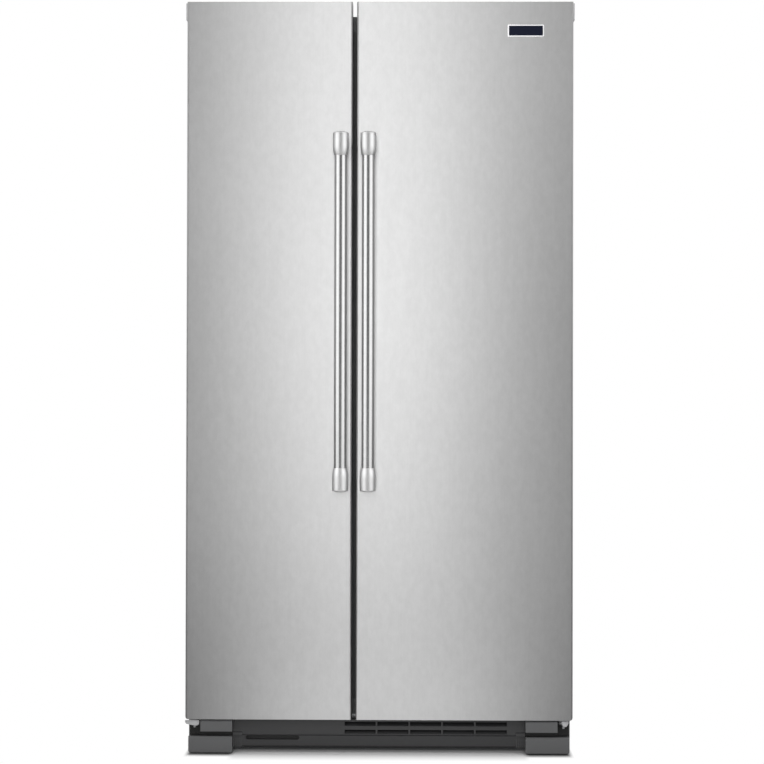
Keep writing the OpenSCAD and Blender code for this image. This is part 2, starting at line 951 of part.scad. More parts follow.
module fridge_liner() {
    color("white") {
        liner(fridge_x0, fridge_x1, -split_x + seat / 2, case_x);
        side_rails(fridge_x0, fridge_x1, shelf_y + 10, drawer_back, crisper_top_z);
        side_rails(fridge_x0, fridge_x1, shelf_y + 10, drawer_back, deli_z);
        side_rails(fridge_x0, fridge_x1, shelf_y + 10, short_back, crisper_low_z);
    }
}

// Strip over the joint between the two liners
module centre_rail_cover() {
    half = centre_wall / 2 - 1;
    color("gainsboro")
        block([-split_x - half, case_y, door_low + 4 + flange_w],
            [-split_x + half, case_y + case_t, case_z - flange_w]);
}

// ---- Base ----

rail_w = 24;
sheet = 2;
rail_face = case_y;
foot_x = case_x - foot_in;
leg_pos_y = case_y + leg_y;
roller_pos_y = back_y - roller_in;
pan_z = case_low + 12;
leg_bore = stem_r + run_fit;

// Rails, floor pan, roller forks and leg nuts, welded together
module base_frame() {
    x = case_x - case_t;
    color("gray") difference() {
        union() {
            // floor pan
            block([-x, case_y + case_t + 1, pan_z], [x, panel_y - case_t - 1, pan_z + sheet]);
            for (side = [-1, 1]) mirror([side < 0 ? 1 : 0, 0, 0]) {
                // channel under the foam
                block([x - sheet, case_y + case_t + 1, case_low], [x, machine_y, deck_z]);
                block([x - rail_w, case_y + case_t + 1, deck_z - sheet], [x, machine_y, deck_z]);
                // leg nut
                translate([foot_x, leg_pos_y, pan_z - 10]) cylinder(r = stem_r + 6, h = 24);
                // roller fork
                for (fork = [-1, 1])
                    block([foot_x + fork * (roller_w / 2 + 3) - sheet / 2, roller_pos_y - 15, roller_r - 9],
                        [foot_x + fork * (roller_w / 2 + 3) + sheet / 2, roller_pos_y + 15, pan_z + 1]);
                rod_x(foot_x - roller_w / 2 - 6, roller_pos_y, roller_r, axle_r, roller_w + 12);
                // hinge foot on the front rail
                block([x - foot_cover_w, rail_face + case_t, pan_z], [x, rail_face + case_t + sheet, deck_z]);
            }
            // front rail with air windows behind the grille
            block([-x, rail_face + case_t, deck_z - sheet], [x, rail_face + case_t + rail_w, deck_z]);
            block([-x, rail_face + case_t, pan_z], [x, rail_face + case_t + sheet, deck_z]);
        }
        for (i = [-2:2])
            block([i * 132 - 56, rail_face - 5, pan_z + 6], [i * 132 + 56, rail_face + 12, deck_z - 12]);
        for (side = [-1, 1]) translate([side * foot_x, leg_pos_y, pan_z - 11])
            cylinder(r = leg_bore, h = 40);
        // wells where the rollers reach up through the pan
        for (side = [-1, 1])
            block([side * foot_x - roller_w / 2 - 1.5, roller_pos_y - roller_r - 3, roller_r + 9],
                [side * foot_x + roller_w / 2 + 1.5, roller_pos_y + roller_r + 3, pan_z + 5]);
    }
}

module rear_roller(side) {
    width = roller_w;
    color("black") difference() {
        translate([side * foot_x, roller_pos_y, roller_r]) rotate([0, 90, 0])
            rotate_extrude($fn = 64) translate([axle_r + run_fit, -width / 2]) difference() {
                square([roller_r - axle_r - run_fit, width]);
                translate([6, -1]) square([roller_r - axle_r - 12, 4]);
                translate([6, width - 3]) square([roller_r - axle_r - 12, 4]);
            }
    }
}

module rear_roller_left() {
    rear_roller(-1);
}

module rear_roller_right() {
    rear_roller(1);
}

module levelling_leg(side) {
    color("black") translate([side * foot_x, leg_pos_y, 0]) {
        cylinder(r = foot_d / 2, h = 6);
        translate([0, 0, 6]) cylinder(r1 = foot_d / 2 - 3, r2 = stem_r + 3, h = 8);
        cylinder(r = stem_r, h = pan_z + 24);
        translate([0, 0, 14]) cylinder(r = stem_r + 4, h = 6, $fn = 6);
    }
}

module levelling_leg_left() {
    levelling_leg(-1);
}

module levelling_leg_right() {
    levelling_leg(1);
}

// ---- Toe grille and foot covers ----

grille_y = face_y + grille_back;
grille_top = door_low - grille_gap;
grille_rear = rail_face - 0.5;
row_low = ledge_z + 1.5;
row_top = row_low + vent_h + vent_bar;

// Side view of the grille's wall: upper band, ledge and lower band
module grille_profile() {
    t = grille_t;
    y = grille_y;
    polygon([
        [grille_rear, grille_top], [y + 2, grille_top], [y, grille_top - 2], [y, ledge_z],
        [y - 4, ledge_z - 2], [y - 3, grille_low + 3], [y - 1, grille_low],
        [grille_rear, grille_low], [grille_rear, grille_low + t], [y + 1, grille_low + t],
        [y - 4 + t, ledge_z - 3], [y + t, ledge_z - 1], [y + t, grille_top - t],
        [grille_rear, grille_top - t],
    ]);
}

// One vent: a through slot with a slanting blade behind it
module vent_cell(i, z) {
    x0 = -vent_start + i * vent_pitch + vent_web / 2;
    block([x0, grille_y - 10, z], [x0 + vent_pitch - vent_web, grille_y + grille_t + 1, z + vent_h]);
}

module front_grille() {
    half = grille_w / 2;
    y = grille_y;
    back = y + grille_t;
    slot_x = -half + 30;
    slot_z = ledge_z - slot_h / 2 - 1.5;
    color([0.2, 0.2, 0.2]) {
        difference() {
            union() {
                sideways(-half, grille_w) grille_profile();
                // pocket behind the finger slot
                block([slot_x - 2, y - 1, slot_z - slot_h / 2 - 2],
                    [slot_x + slot_w + 2, y + slot_deep, ledge_z]);
                // blocks that carry the ribs
                for (side = [-1, 1]) sideways(side * (half - ribbed_w / 2) - ribbed_w / 2, ribbed_w)
                    polygon([[y + 1, ledge_z + 7], [y - 3, ledge_z + 5], [y - 5, grille_low],
                        [y - 3, grille_low - 2], [y + 1, grille_low - 2]]);
            }
            for (i = [0:vent_count - 1], z = [row_low, row_top]) vent_cell(i, z);
            hull() for (x = [slot_x, slot_x + slot_w - slot_h])
                rod_y(x + slot_h / 2, y - 10, slot_z, slot_h / 2, slot_deep + 8);
            // grooves between the ribs
            for (side = [-1, 1], i = [1:4])
                translate([side * (half - i * ribbed_w / 5), y - 5, ledge_z / 2 + 8])
                    cube([2, 5, ledge_z + 12], center = true);
        }
        // blades that hide the view through the vents
        for (z = [row_low, row_top])
            sideways(-vent_start, vent_count * vent_pitch) polygon([[back - 1, z - 1],
                [back + 9, z + vent_h - 1], [back + 9, z + vent_h + 1], [back - 1, z + 0.6]]);
        // uprights that carry the blades
        for (i = [0:vent_count]) translate([-vent_start + i * vent_pitch - vent_web / 2, y + 1, row_low - 1.5])
            cube([vent_web, grille_t + 9, row_top + vent_h - row_low + 3.5]);
    }
}

// A foot cover, drawn from the hinge side
module foot_cover() {
    x0 = foot_cover_in;
    x1 = x0 + foot_cover_w;
    y0 = foot_cover_back;
    y1 = grille_rear - face_y;
    t = grille_t;
    low = 2;
    mid = low + foot_low_h;
    up = mid + foot_slit;
    top = grille_top - 1;
    recess = x0 + foot_recess;
    // lower block with round lower corners, hollow behind
    difference() {
        intersection() {
            sideways(x0, foot_cover_w) polygon([
                [y1, low], [y0 + 1, low], [y0, low + 2], [y0, mid - 3], [y0 + 3, mid], [y1, mid],
            ]);
            upright(y0 - 1, y1) translate([x0, low]) round_rect(foot_cover_w, foot_low_h + 20, 6);
        }
        block([x0 + t, y0 + t, low - 1], [x1 - t, y1 + 1, mid - t]);
    }
    // upper block beside the hinge's recess
    difference() {
        sideways(recess, x1 - recess) polygon([
            [y1, up], [y0, up], [y0, top - 3], [y0 + 3, top], [y1, top],
        ]);
        block([recess + t, y0 + t, up + t], [x1 - t, y1 + 1, top - t]);
    }
    // sunk wall behind the slit joins the two
    block([recess, y0 + foot_sunk, mid - eps], [x1, y0 + foot_sunk + t, up + eps]);
    // wall behind the hinge's boss
    block([x0, hinge_y + boss_r + 1, mid - eps],
        [recess + eps, hinge_y + boss_r + 1 + t, lower_plate_z - 0.5]);
}

module foot_covers() {
    color([0.35, 0.35, 0.35]) at_both() foot_cover();
}

// ---- Hinges ----

arm_z = case_z;
screw_spots = [[arm_lean[0] - 10, arm_lean[1] + 8], [arm_lean[0] + 10, arm_lean[1] + 8],
    [arm_lean[0], arm_lean[1] + 26]];

// Plan of a top hinge, or of its cover, with radius r round the pin
module arm_plan(r) {
    grow = r - arm_r;
    hull() {
        translate([hinge_x, hinge_y]) circle(r);
        translate(arm_lean) circle(r + 4);
    }
    translate(arm_lean + [-20 - grow, 0]) square([40 + 2 * grow, 38 + grow]);
}

// Holes of a corner's screws in the cabinet's top and face
module screw_holes(z) {
    for (p = screw_spots) translate([p[0], p[1], z]) cylinder(r = screw_r + run_fit, h = 12);
    for (h = lower_screws)
        rod_y(hinge_x, rail_face - face_y - arm_t - 1, h, screw_r + run_fit, arm_t + 3);
}

module top_hinge() {
    difference() {
        translate([0, 0, arm_z]) linear_extrude(arm_t) arm_plan(arm_r);
        screw_holes(arm_z - 1);
    }
    translate([hinge_x, hinge_y, arm_z - 2 - pin_l]) cylinder(r = pin_r, h = pin_l + 2 + arm_t);
}

module top_hinges() {
    color("silver") at_both() top_hinge();
}

// A plastic cap that stands on the cabinet over the hinge
module top_hinge_cover() {
    difference() {
        translate([0, 0, arm_z]) linear_extrude(cover_h) arm_plan(nose_r);
        translate([0, 0, arm_z - 1]) linear_extrude(cover_h - cover_t + 1)
            arm_plan(nose_r - cover_t);
    }
}

module top_hinge_covers() {
    color("gainsboro") at_both() top_hinge_cover();
}

lower_plate_z = door_low - 7;
lower_x1 = 33;
boss_r = 14;

// Bracket, upright pin and tapered bolt below each door
module bottom_hinge() {
    flange_y = rail_face - face_y;
    difference() {
        union() {
            translate([0, 0, lower_plate_z]) linear_extrude(arm_t) hull() {
                translate([hinge_x, hinge_y]) circle(arm_r);
                translate([8, flange_y - arm_t]) square([lower_x1 - 8, arm_t]);
            }
            // flange on the cabinet's front rail
            block([8, flange_y - arm_t, 44], [lower_x1, flange_y, lower_plate_z + arm_t]);
        }
        screw_holes(arm_z);
    }
    translate([hinge_x, hinge_y, 0]) {
        translate([0, 0, lower_plate_z]) cylinder(r = pin_r, h = door_low + cap_drop + pin_l - lower_plate_z);
        // bearing washer under the door
        translate([0, 0, lower_plate_z + arm_t - eps])
            cylinder(r = 9, h = door_low + cap_drop - seat - lower_plate_z - arm_t);
        // tapered boss and lifting screw below the plate
        translate([0, 0, lower_plate_z - 2]) cylinder(r = boss_r, h = 2 + eps);
        translate([0, 0, lower_plate_z - 6]) cylinder(r1 = boss_r - 4, r2 = boss_r - 0.5, h = 4 + eps);
        translate([0, 0, lower_plate_z - 10]) cylinder(r = 1.8, h = 4 + eps, $fn = 24);
        translate([0, 0, lower_plate_z - 15]) cylinder(r = 3, h = 5 + eps, $fn = 24);
    }
}

lower_screws = [52, 64];

module bottom_hinges() {
    color("silver") at_both() bottom_hinge();
}

// Hexagon screws of all four hinges
module hinge_screws() {
    flange_y = rail_face - face_y;
    color("gainsboro") at_both() {
        for (p = screw_spots) translate([p[0], p[1], arm_z - case_t]) {
            cylinder(r = screw_r, h = case_t + arm_t + 1);
            translate([0, 0, case_t + arm_t]) cylinder(r = head_r, h = head_h, $fn = 6);
        }
        for (z = lower_screws) {
            rod_y(hinge_x, flange_y - arm_t - 1, z, screw_r, arm_t + 1 + case_t);
            translate([hinge_x, flange_y - arm_t - head_h, z]) rotate([-90, 0, 0])
                cylinder(r = head_r - 1, h = head_h, $fn = 6);
        }
    }
}

// ---- Shelves ----

fridge_levels = [for (i = [0:2]) fridge_shelf_z + i * fridge_shelf_step];
freezer_levels = [for (i = [0:3]) freezer_shelf_z + i * freezer_shelf_step];
track_d = 10;
track_w = 24;
track_xs = [fridge_x0 + 90, fridge_x1 - 90];
track_low = 800;
track_top = top_z - 70;
track_step = 50;

// A frame with a rebate for its pane; z is the glass's upper face
module shelf_frame(x0, x1, y0, y1, z) {
    low = z - frame_h + glass_t;
    difference() {
        block([x0, y0, low], [x1, y1, low + frame_h]);
        block([x0 + frame_w, y0 + frame_w, low - 1], [x1 - frame_w, y1 - frame_w, z + frame_h]);
        block([x0 + frame_w / 2, y0 + frame_w / 2, z - glass_t],
            [x1 - frame_w / 2, y1 - frame_w / 2, z + frame_h]);
    }
}

// The pane that lies in that rebate
module pane(x0, x1, y0, y1, z) {
    g = frame_w / 2 + 0.2;
    block([x0 + g, y0 + g, z - glass_t], [x1 - g, y1 - g, z]);
}

module fridge_shelf_frames() {
    x0 = fridge_x0 + shelf_side;
    x1 = fridge_x1 - shelf_side;
    y1 = inner_y - track_d - 2;
    color("whitesmoke") for (z = fridge_levels) {
        shelf_frame(x0, x1, shelf_y, y1, z);
        // cantilever arms that hook into the tracks
        for (x = track_xs) sideways(x - 2, 4) polygon([
            [shelf_y + 8, z + glass_t - frame_h], [y1, z + glass_t - frame_h - 44],
            [inner_y - track_d - seat, z + glass_t - frame_h - 44],
            [inner_y - track_d - seat, z + 2], [y1 - frame_w / 2, z],
            [y1 - frame_w / 2, z - glass_t], [y1 - frame_w, z - glass_t],
            [y1 - frame_w, z + glass_t - frame_h + 1], [shelf_y + 8, z + glass_t - frame_h + 1],
        ]);
    }
}

// Slotted steel strips on the fridge's back wall
module shelf_tracks() {
    color("gainsboro") for (x = track_xs) difference() {
        block([x - track_w / 2, inner_y - track_d, track_low], [x + track_w / 2, inner_y, track_top]);
        for (z = [track_low + 20:track_step:track_top - 20])
            block([x - 3, inner_y - track_d - 1, z], [x + 3, inner_y - 2, z + 16]);
    }
}

module freezer_shelf_frames() {
    color("whitesmoke") for (z = freezer_levels)
        shelf_frame(freezer_x0 + shelf_side, freezer_x1 - shelf_side, shelf_y, cold_y - 4, z);
}

// All panes of the shelves and of the drawers' covers
module shelf_glass() {
    color([0.75, 0.9, 0.85]) {
        for (z = fridge_levels)
            pane(fridge_x0 + shelf_side, fridge_x1 - shelf_side, shelf_y, inner_y - track_d - 2, z);
        for (z = freezer_levels)
            pane(freezer_x0 + shelf_side, freezer_x1 - shelf_side, shelf_y, cold_y - 4, z);
        for (c = [[crisper_top_z, drawer_back], [deli_z, drawer_back], [crisper_low_z, short_back]])
            pane(fridge_x0 + shelf_side, fridge_x1 - shelf_side, shelf_y, c[1], c[0] + frame_h - glass_t);
    }
}

// A drawer's cover: a glazed frame on side rails with runners
module drawer_cover(z, y0, y1) {
    x0 = fridge_x0 + shelf_side;
    x1 = fridge_x1 - shelf_side;
    shelf_frame(x0, x1, shelf_y, y1, z + frame_h - glass_t);
    for (side = [0, 1]) {
        x = side == 0 ? x0 + rail_out + 1 : x1 - rail_out - 1 - runner_in;
        foot = side == 0 ? x : x - rim_w;
        block([x, y0, z - runner_h], [x + runner_in, y1, z + eps]);
        block([foot, y0, z - runner_h], [foot + runner_in + rim_w, y1, z - runner_h + foot_t]);
    }
}

module drawer_covers() {
    color("whitesmoke") {
        drawer_cover(deli_z, shelf_y, drawer_back);
        drawer_cover(crisper_top_z, shelf_y, drawer_back);
        drawer_cover(crisper_low_z, low_drawer_y + 4, short_back);
    }
}

// ---- Drawers ----

// Rim level of a drawer that hangs under a cover at height z
function hung_rim(z) = z - runner_h + foot_t + slide_gap;

hung_x0 = fridge_x0 + shelf_side + rail_out + 1 + runner_in + slide_gap;
hung_x1 = fridge_x1 - shelf_side - rail_out - 1 - runner_in - slide_gap;
basket_x0 = freezer_x0 + slide_gap;
basket_x1 = freezer_x1 - slide_gap;
basket_top_z = 552;
basket_low_z = 332;

// An open box that hangs by its rims; rim is the underside of the rims
module drawer(x0, x1, y0, y1, z0, rim) {
    body_x0 = x0 + rim_w + slide_gap;
    body_w0 = x1 - x0 - 2 * rim_w - 2 * slide_gap;
    top = rim + rim_t;
    h = top - z0;
    difference() {
        union() {
            upright(y0, y1 - y0) translate([body_x0, z0]) tub_section(body_w0, h, 12);
            block([x0, y0 + 22, rim], [x1, y1, top]);
            // front with a rolled grip along its top
            upright(y0 - 5, 8) translate([x0 + 2, z0 + 2]) round_rect(x1 - x0 - 4, h - 2, 6);
            sideways(body_x0 + 40, body_w0 - 80) translate([y0 - 5, top - 16]) grip_section();
        }
        upright(y0 + 3, y1 - y0 - 3 - tub_t)
            translate([body_x0 + tub_t, z0 + tub_t]) tub_section(body_w0 - 2 * tub_t, h, 9);
    }
}

// Front view of a tub: square top, round lower corners
module tub_section(w, h, r) {
    translate([0, r]) square([w, h - r]);
    translate([r, 0]) square([w - 2 * r, h]);
    for (x = [r, w - r]) translate([x, r]) circle(r);
}

// The grip: a hook that fingers reach under
module grip_section() {
    difference() {
        translate([-9, 0]) square([10, 14]);
        translate([-6, -1]) square([6.5, 10]);
    }
}

module deli_drawer() {
    color("lightcyan") drawer(hung_x0, hung_x1, drawer_y, drawer_back - 6, deli_z - deli_h, hung_rim(deli_z));
}

module crisper_upper() {
    color("lightcyan") drawer(hung_x0, hung_x1, drawer_y, drawer_back - 6, crisper_low_z + frame_h + tub_low,
        hung_rim(crisper_top_z));
}

module crisper_lower() {
    color("lightcyan") drawer(hung_x0, hung_x1, low_drawer_y, short_back - 6, floor_z + tub_low,
        hung_rim(crisper_low_z));
}

module freezer_basket_upper() {
    color("whitesmoke") drawer(basket_x0, basket_x1, drawer_y, cold_y - 12, hump_z + tub_low + 10,
        basket_top_z - rim_t);
}

module freezer_basket_lower() {
    color("whitesmoke") drawer(basket_x0, basket_x1, low_drawer_y, short_back - 6, floor_z + tub_low,
        basket_low_z - rim_t);
}

// ---- Controls and lamps ----

control_y = case_y + control_in;
knob_z = top_z - control_h / 2 - 2;
knob_xs = [fridge_x0 + 120, fridge_x1 - 120];
switch_z = top_z - dike_gap - dike_w / 2;
fridge_switch_x = fridge_x0 + 40;
freezer_switch_x = freezer_x0 + 60;
knob_gap = 0.6;

module control_housings() {
    t = tub_t;
    color("whitesmoke") {
        // fridge housing: sloping nose, hollow above
        difference() {
            sideways(fridge_x0 + liner_r + 1, fridge_x1 - fridge_x0 - 2 * liner_r - 2) polygon([
                [control_y, top_z], [control_y, top_z - control_h + 8],
                [control_y + 8, top_z - control_h], [control_y + control_d, top_z - control_h + 14],
                [control_y + control_d, top_z],
            ]);
            block([fridge_x0 + liner_r + 1 + t, control_y + 14, top_z - control_h + 14],
                [fridge_x1 - liner_r - 1 - t, control_y + control_d - t, top_z - t]);
            for (x = knob_xs) rod_y(x, control_y - 1, knob_z, shaft_r + run_fit, 20);
            rod_y(fridge_switch_x, control_y - 1, switch_z, plunger_r + run_fit, 20);
        }
        // freezer switch housing
        difference() {
            sideways(freezer_switch_x - 22, 44) polygon([
                [control_y, top_z], [control_y, top_z - 38], [control_y + 60, top_z - 12],
                [control_y + 60, top_z],
            ]);
            rod_y(freezer_switch_x, control_y - 1, switch_z, plunger_r + run_fit, 30);
        }
    }
}

module control_knob(x) {
    color("white") {
        rod_y(x, control_y - knob_gap - knob_l, knob_z, knob_d / 2 - 5, knob_l);
        rod_y(x, control_y - knob_gap - 4, knob_z, knob_d / 2, 4);
        // pointer wing across the knob
        block([x - 3, control_y - knob_gap - knob_l - 2, knob_z - knob_d / 2 + 2],
            [x + 3, control_y - knob_gap - 2, knob_z + knob_d / 2 - 2]);
        rod_y(x, control_y - knob_gap - 1, knob_z, shaft_r, 14);
    }
}

module fridge_control_knob() {
    control_knob(knob_xs[0]);
}

module freezer_control_knob() {
    control_knob(knob_xs[1]);
}

// A plunger that just reaches the closed door's raised frame
module light_switch(x) {
    tip = face_y + dike_back + seat;
    color("white") {
        rod_y(x, tip, switch_z, plunger_r, control_y + 10 - tip);
        rod_y(x, control_y - 12, switch_z, plunger_r + 2, 3);
    }
}

module fridge_light_switch() {
    light_switch(fridge_switch_x);
}

module freezer_light_switch() {
    light_switch(freezer_switch_x);
}

// Ribbed lenses on the ceilings
module lamp_lenses() {
    h = 18;
    color("lightyellow")
        for (c = [[(fridge_x0 + fridge_x1) / 2, control_y + control_d + 12],
                [(freezer_x0 + freezer_x1) / 2, control_y + 70]])
            translate([c[0] - 50, c[1], top_z - h]) difference() {
                union() {
                    translate([0, 0, 0]) cube([100, 70, h]);
                    for (i = [0:8]) translate([8 + i * 10, 4, -1.5]) cube([4, 62, 2]);
                }
                translate([2, 2, 2]) cube([96, 66, h]);
            }
}

// ---- Evaporator ----

cold_x0 = freezer_x0 + 14;
cold_x1 = freezer_x1 - 14;
cold_low = hump_z + 70;
cold_rows = 5;
cold_step = 60;
cold_fan_z = 1180;
cold_mid_x = (freezer_x0 + freezer_x1) / 2;

// A finned serpentine on the origin: tubes along X joined by round bends, and end
// plates that reach from y0 to y1 and from z0 to z1
module finned_coil(x0, x1, rows, step, pitch, half_d, y0, y1, z0, z1) {
    top = (rows - 1) * step;
    for (i = [0:rows - 1]) rod_x(x0, 0, i * step, tube_r, x1 - x0);
    for (i = [0:rows - 2]) translate([i % 2 == 0 ? x1 : x0, 0, (i + 0.5) * step])
        rotate([90, i % 2 == 0 ? -90 : 90, 0])
            rotate_extrude(angle = 180, $fn = 32) translate([step / 2, 0]) circle(tube_r, $fn = 24);
    for (x = [x0 + 22:pitch:x1 - 12]) block([x, -half_d, -20], [x + 0.8, half_d, top + 20]);
    for (x = [x0 + 6, x1 - 8]) block([x, y0, z0], [x + 2, y1, z1]);
}

module evaporator() {
    top = (cold_rows - 1) * cold_step;
    color("silver") translate([0, inner_y - 35, cold_low + 20])
        finned_coil(cold_x0 + 24, cold_x1 - 24, cold_rows, cold_step, cold_fin_step, 22, -26, 35, -30, top + 30);
}

// The panel in front of it, with vents and the fan's mouth
module evaporator_cover() {
    x0 = freezer_x0 + shelf_side;
    x1 = freezer_x1 - shelf_side;
    top = top_z - 1;
    t = 3;
    color("white") intersection() {
        room(freezer_x0, freezer_x1, -seat);
        difference() {
            union() {
                block([x0, cold_y, hump_z + 0.5], [x1, cold_y + t, top]);
                // side flanges back to the wall
                for (x = [x0, x1 - t]) block([x, cold_y, hump_z + 0.5], [x + t, inner_y, top]);
                block([x0, cold_y, top - t], [x1, inner_y, top]);
            }
            for (i = [0:5], z = [hump_z + 24, hump_z + 40])
                block([x0 + 28 + i * 41, cold_y - 1, z], [x0 + 62 + i * 41, cold_y + t + 1, z + 7]);
            for (i = [0:5], k = [0:2])
                block([x0 + 28 + i * 41, cold_y - 1, cold_fan_z + 100 + k * 14],
                    [x0 + 62 + i * 41, cold_y + t + 1, cold_fan_z + 107 + k * 14]);
            // guard slots before the fan
            for (k = [-3:3]) {
                chord = sqrt(pow(cold_fan_d / 2, 2) - pow(k * 13, 2));
                translate([cold_mid_x - chord, cold_y - 1, cold_fan_z + k * 13 - 4]) cube([2 * chord, t + 2, 8]);
            }
        }
    }
}

// ---- Fans ----

fan_shaft = 2.5;
hub_r = 16;
fan_up = 115;
shroud_w = machine_d - 30;
fan_mid = [-20, (machine_y + panel_y) / 2, pan_z + sheet + fan_up];
cold_fan_y = cold_y + 12;

// Pitched blades round a bored hub, spinning about Z, t thick
module fan_wheel(d, t, blades) {
    difference() {
        union() {
            cylinder(r = hub_r, h = t);
            intersection() {
                cylinder(r = d / 2, h = t);
                for (i = [0:blades - 1]) rotate([0, 0, i * 360 / blades])
                    translate([hub_r - 3, 0, t / 2]) rotate([32, 0, 0])
                        translate([0, -d / 7, -0.9]) cube([d / 2, d / 3.5, 1.8]);
            }
        }
        translate([0, 0, -1]) cylinder(r = fan_shaft + run_fit, h = t + 2);
    }
}

module condenser_fan() {
    color("black") translate(fan_mid) rotate([0, 90, 0]) translate([0, 0, -12]) fan_wheel(fan_d, 24, 5);
}

module evaporator_fan() {
    color("white") translate([cold_mid_x, cold_fan_y, cold_fan_z]) rotate([-90, 0, 0])
        fan_wheel(cold_fan_d, 18, 4);
}

// The condenser fan's shroud and motor, and the evaporator fan's motor
module fan_housings() {
    ring = fan_d / 2 + 5;
    color([0.15, 0.15, 0.15]) {
        translate(fan_mid) rotate([0, 90, 0]) {
            difference() {
                translate([0, 0, -16]) union() {
                    cylinder(r = ring + 3, h = 32, $fn = 64);
                    // plate down to the pan
                    translate([-ring - 20, -shroud_w / 2, 0]) cube([fan_up + ring + 20, shroud_w, 3]);
                }
                translate([0, 0, -17]) cylinder(r = ring, h = 34, $fn = 64);
            }
            // three struts, motor can and shaft
            for (a = [0:120:240]) rotate([0, 0, a]) translate([20, -4, 18]) cube([ring - 18, 8, 4]);
            for (a = [0:120:240]) rotate([0, 0, a]) translate([ring - 1, -4, 10]) cube([3, 8, 12]);
            translate([0, 0, 18]) cylinder(r = 27, h = 34);
            translate([0, 0, -11]) cylinder(r = fan_shaft, h = 30);
        }
        translate([cold_mid_x, 0, cold_fan_z]) {
            rod_y(0, cold_fan_y + 20, 0, 22, 26);
            rod_y(0, cold_fan_y + 1, 0, fan_shaft, 20);
            // bracket back to the wall
            block([-60, inner_y - 12, -9], [60, inner_y - 10, 9]);
            for (x = [-60, 58]) block([x, inner_y - 12, -9], [x + 2, inner_y, 9]);
        }
    }
}

// ---- Machine room ----

pot_x = case_x - 198;
pot_y = (machine_y + panel_y) / 2;
pot_z = pan_z + sheet + 16;

// Welded compressor shell on its feet
module compressor() {
    r = pot_d / 2;
    h = pot_h;
    color([0.12, 0.12, 0.12]) {
        translate([pot_x, pot_y, pot_z]) {
            // two deep-drawn halves with a weld rim between
            rotate_extrude($fn = 64) polygon([
                [0, 0], [r * 0.62, 0],
                for (a = [-60:15:0]) [r * 0.7 + r * 0.3 * cos(a), h * 0.24 + h * 0.24 * sin(a)],
                [r, h * 0.52], [r + 4, h * 0.52], [r + 4, h * 0.55], [r, h * 0.55],
                for (a = [0:15:90]) [r * 0.45 + r * 0.55 * cos(a), h * 0.66 + h * 0.34 * sin(a)],
                [0, h],
            ]);
            // feet
            translate([-r - 6, -r * 0.72, -4]) cube([2 * r + 12, r * 1.44, 5]);
            for (x = [-r + 2, r - 2], y = [-r * 0.55, r * 0.55])
                translate([x, y, -16]) cylinder(r = 11, h = 16);
            // terminal box and tube stubs
            translate([-r - 20, -26, h * 0.2]) cube([30, 52, 50]);
            translate([30, r * 0.7, h * 0.3]) rotate([-90, 0, 0]) cylinder(r = tube_r, h = 34);
            translate([-30, -r * 0.7, h * 0.62]) rotate([90, 0, 0]) cylinder(r = tube_r, h = 30);
        }
    }
}

cond_x0 = 78 - case_x;
cond_x1 = fan_mid[0] - 60;
cond_half = 84;
cond_foot = 60;
tray_h = 30;

// Finned coil whose end plates stand on the pan
module condenser() {
    color([0.15, 0.15, 0.15]) translate([0, (machine_y + panel_y) / 2, pan_z + sheet + cond_foot])
        finned_coil(cond_x0, cond_x1, 5, 32, fin_step, cond_half - 4, -cond_half, cond_half,
            -cond_foot, 156);
}

// Shallow tray under the condenser
module drain_pan() {
    color("gray") difference() {
        tray_block(0);
        tray_block(2);
    }
}

module tray_block(g) {
    translate([cond_x0 + 8 + g, (machine_y + panel_y) / 2 - cond_half + 6 + g, pan_z + sheet + g])
        cube([cond_x1 - cond_x0 - 16 - 2 * g, 2 * (cond_half - 6 - g), tray_h]);
}

// Louvred cover over the machine room's back
module machine_cover() {
    x = case_x - case_t - 0.5;
    low = pan_z - 8;
    top = machine_z - 8;
    y = panel_y - case_t;
    color("darkgray") difference() {
        block([-x, y, low], [x, y + case_t, top]);
        for (col = [-3:3], row = [0:6])
            block([col * 120 - 46, y - 1, low + 44 + row * 22], [col * 120 + 46, y + 2, low + 52 + row * 22]);
    }
}

// ---- One name, one piece ----

outer_case();
back_panel();
cabinet_foam();
base_frame();
freezer_liner();
fridge_liner();
centre_rail_cover();
machine_cover();
compressor();
condenser();
fan_housings();
drain_pan();
evaporator();
evaporator_cover();
front_grille();
foot_covers();
top_hinges();
top_hinge_covers();
bottom_hinges();
hinge_screws();
control_housings();
lamp_lenses();
shelf_tracks();
fridge_shelf_frames();
freezer_shelf_frames();
shelf_glass();
drawer_covers();
rear_roller_left();
rear_roller_right();
levelling_leg_left();
levelling_leg_right();
condenser_fan();
evaporator_fan();
deli_drawer();
crisper_upper();
crisper_lower();
freezer_basket_upper();
freezer_basket_lower();
fridge_control_knob();
freezer_control_knob();
fridge_light_switch();
freezer_light_switch();
freezer_door_skin();
freezer_door_foam();
freezer_door_liner();
freezer_door_gasket();
freezer_door_caps();
freezer_handle_bar();
freezer_handle_caps();
freezer_door_bins();
fridge_door_skin();
fridge_door_foam();
fridge_door_liner();
fridge_door_gasket();
fridge_door_caps();
fridge_handle_bar();
fridge_handle_caps();
fridge_door_bins();
dairy_cover();
badge_plate();
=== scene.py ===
"""Finishes, studio and small trim for a side by side refrigerator.

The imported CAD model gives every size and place. This script dresses its nodes, adds the
small pieces that CAD leaves out, and sets the light and the camera.
"""

import logging
import math
from dataclasses import dataclass, field
from enum import Enum

import bmesh
import bpy
from mathutils import Matrix, Vector


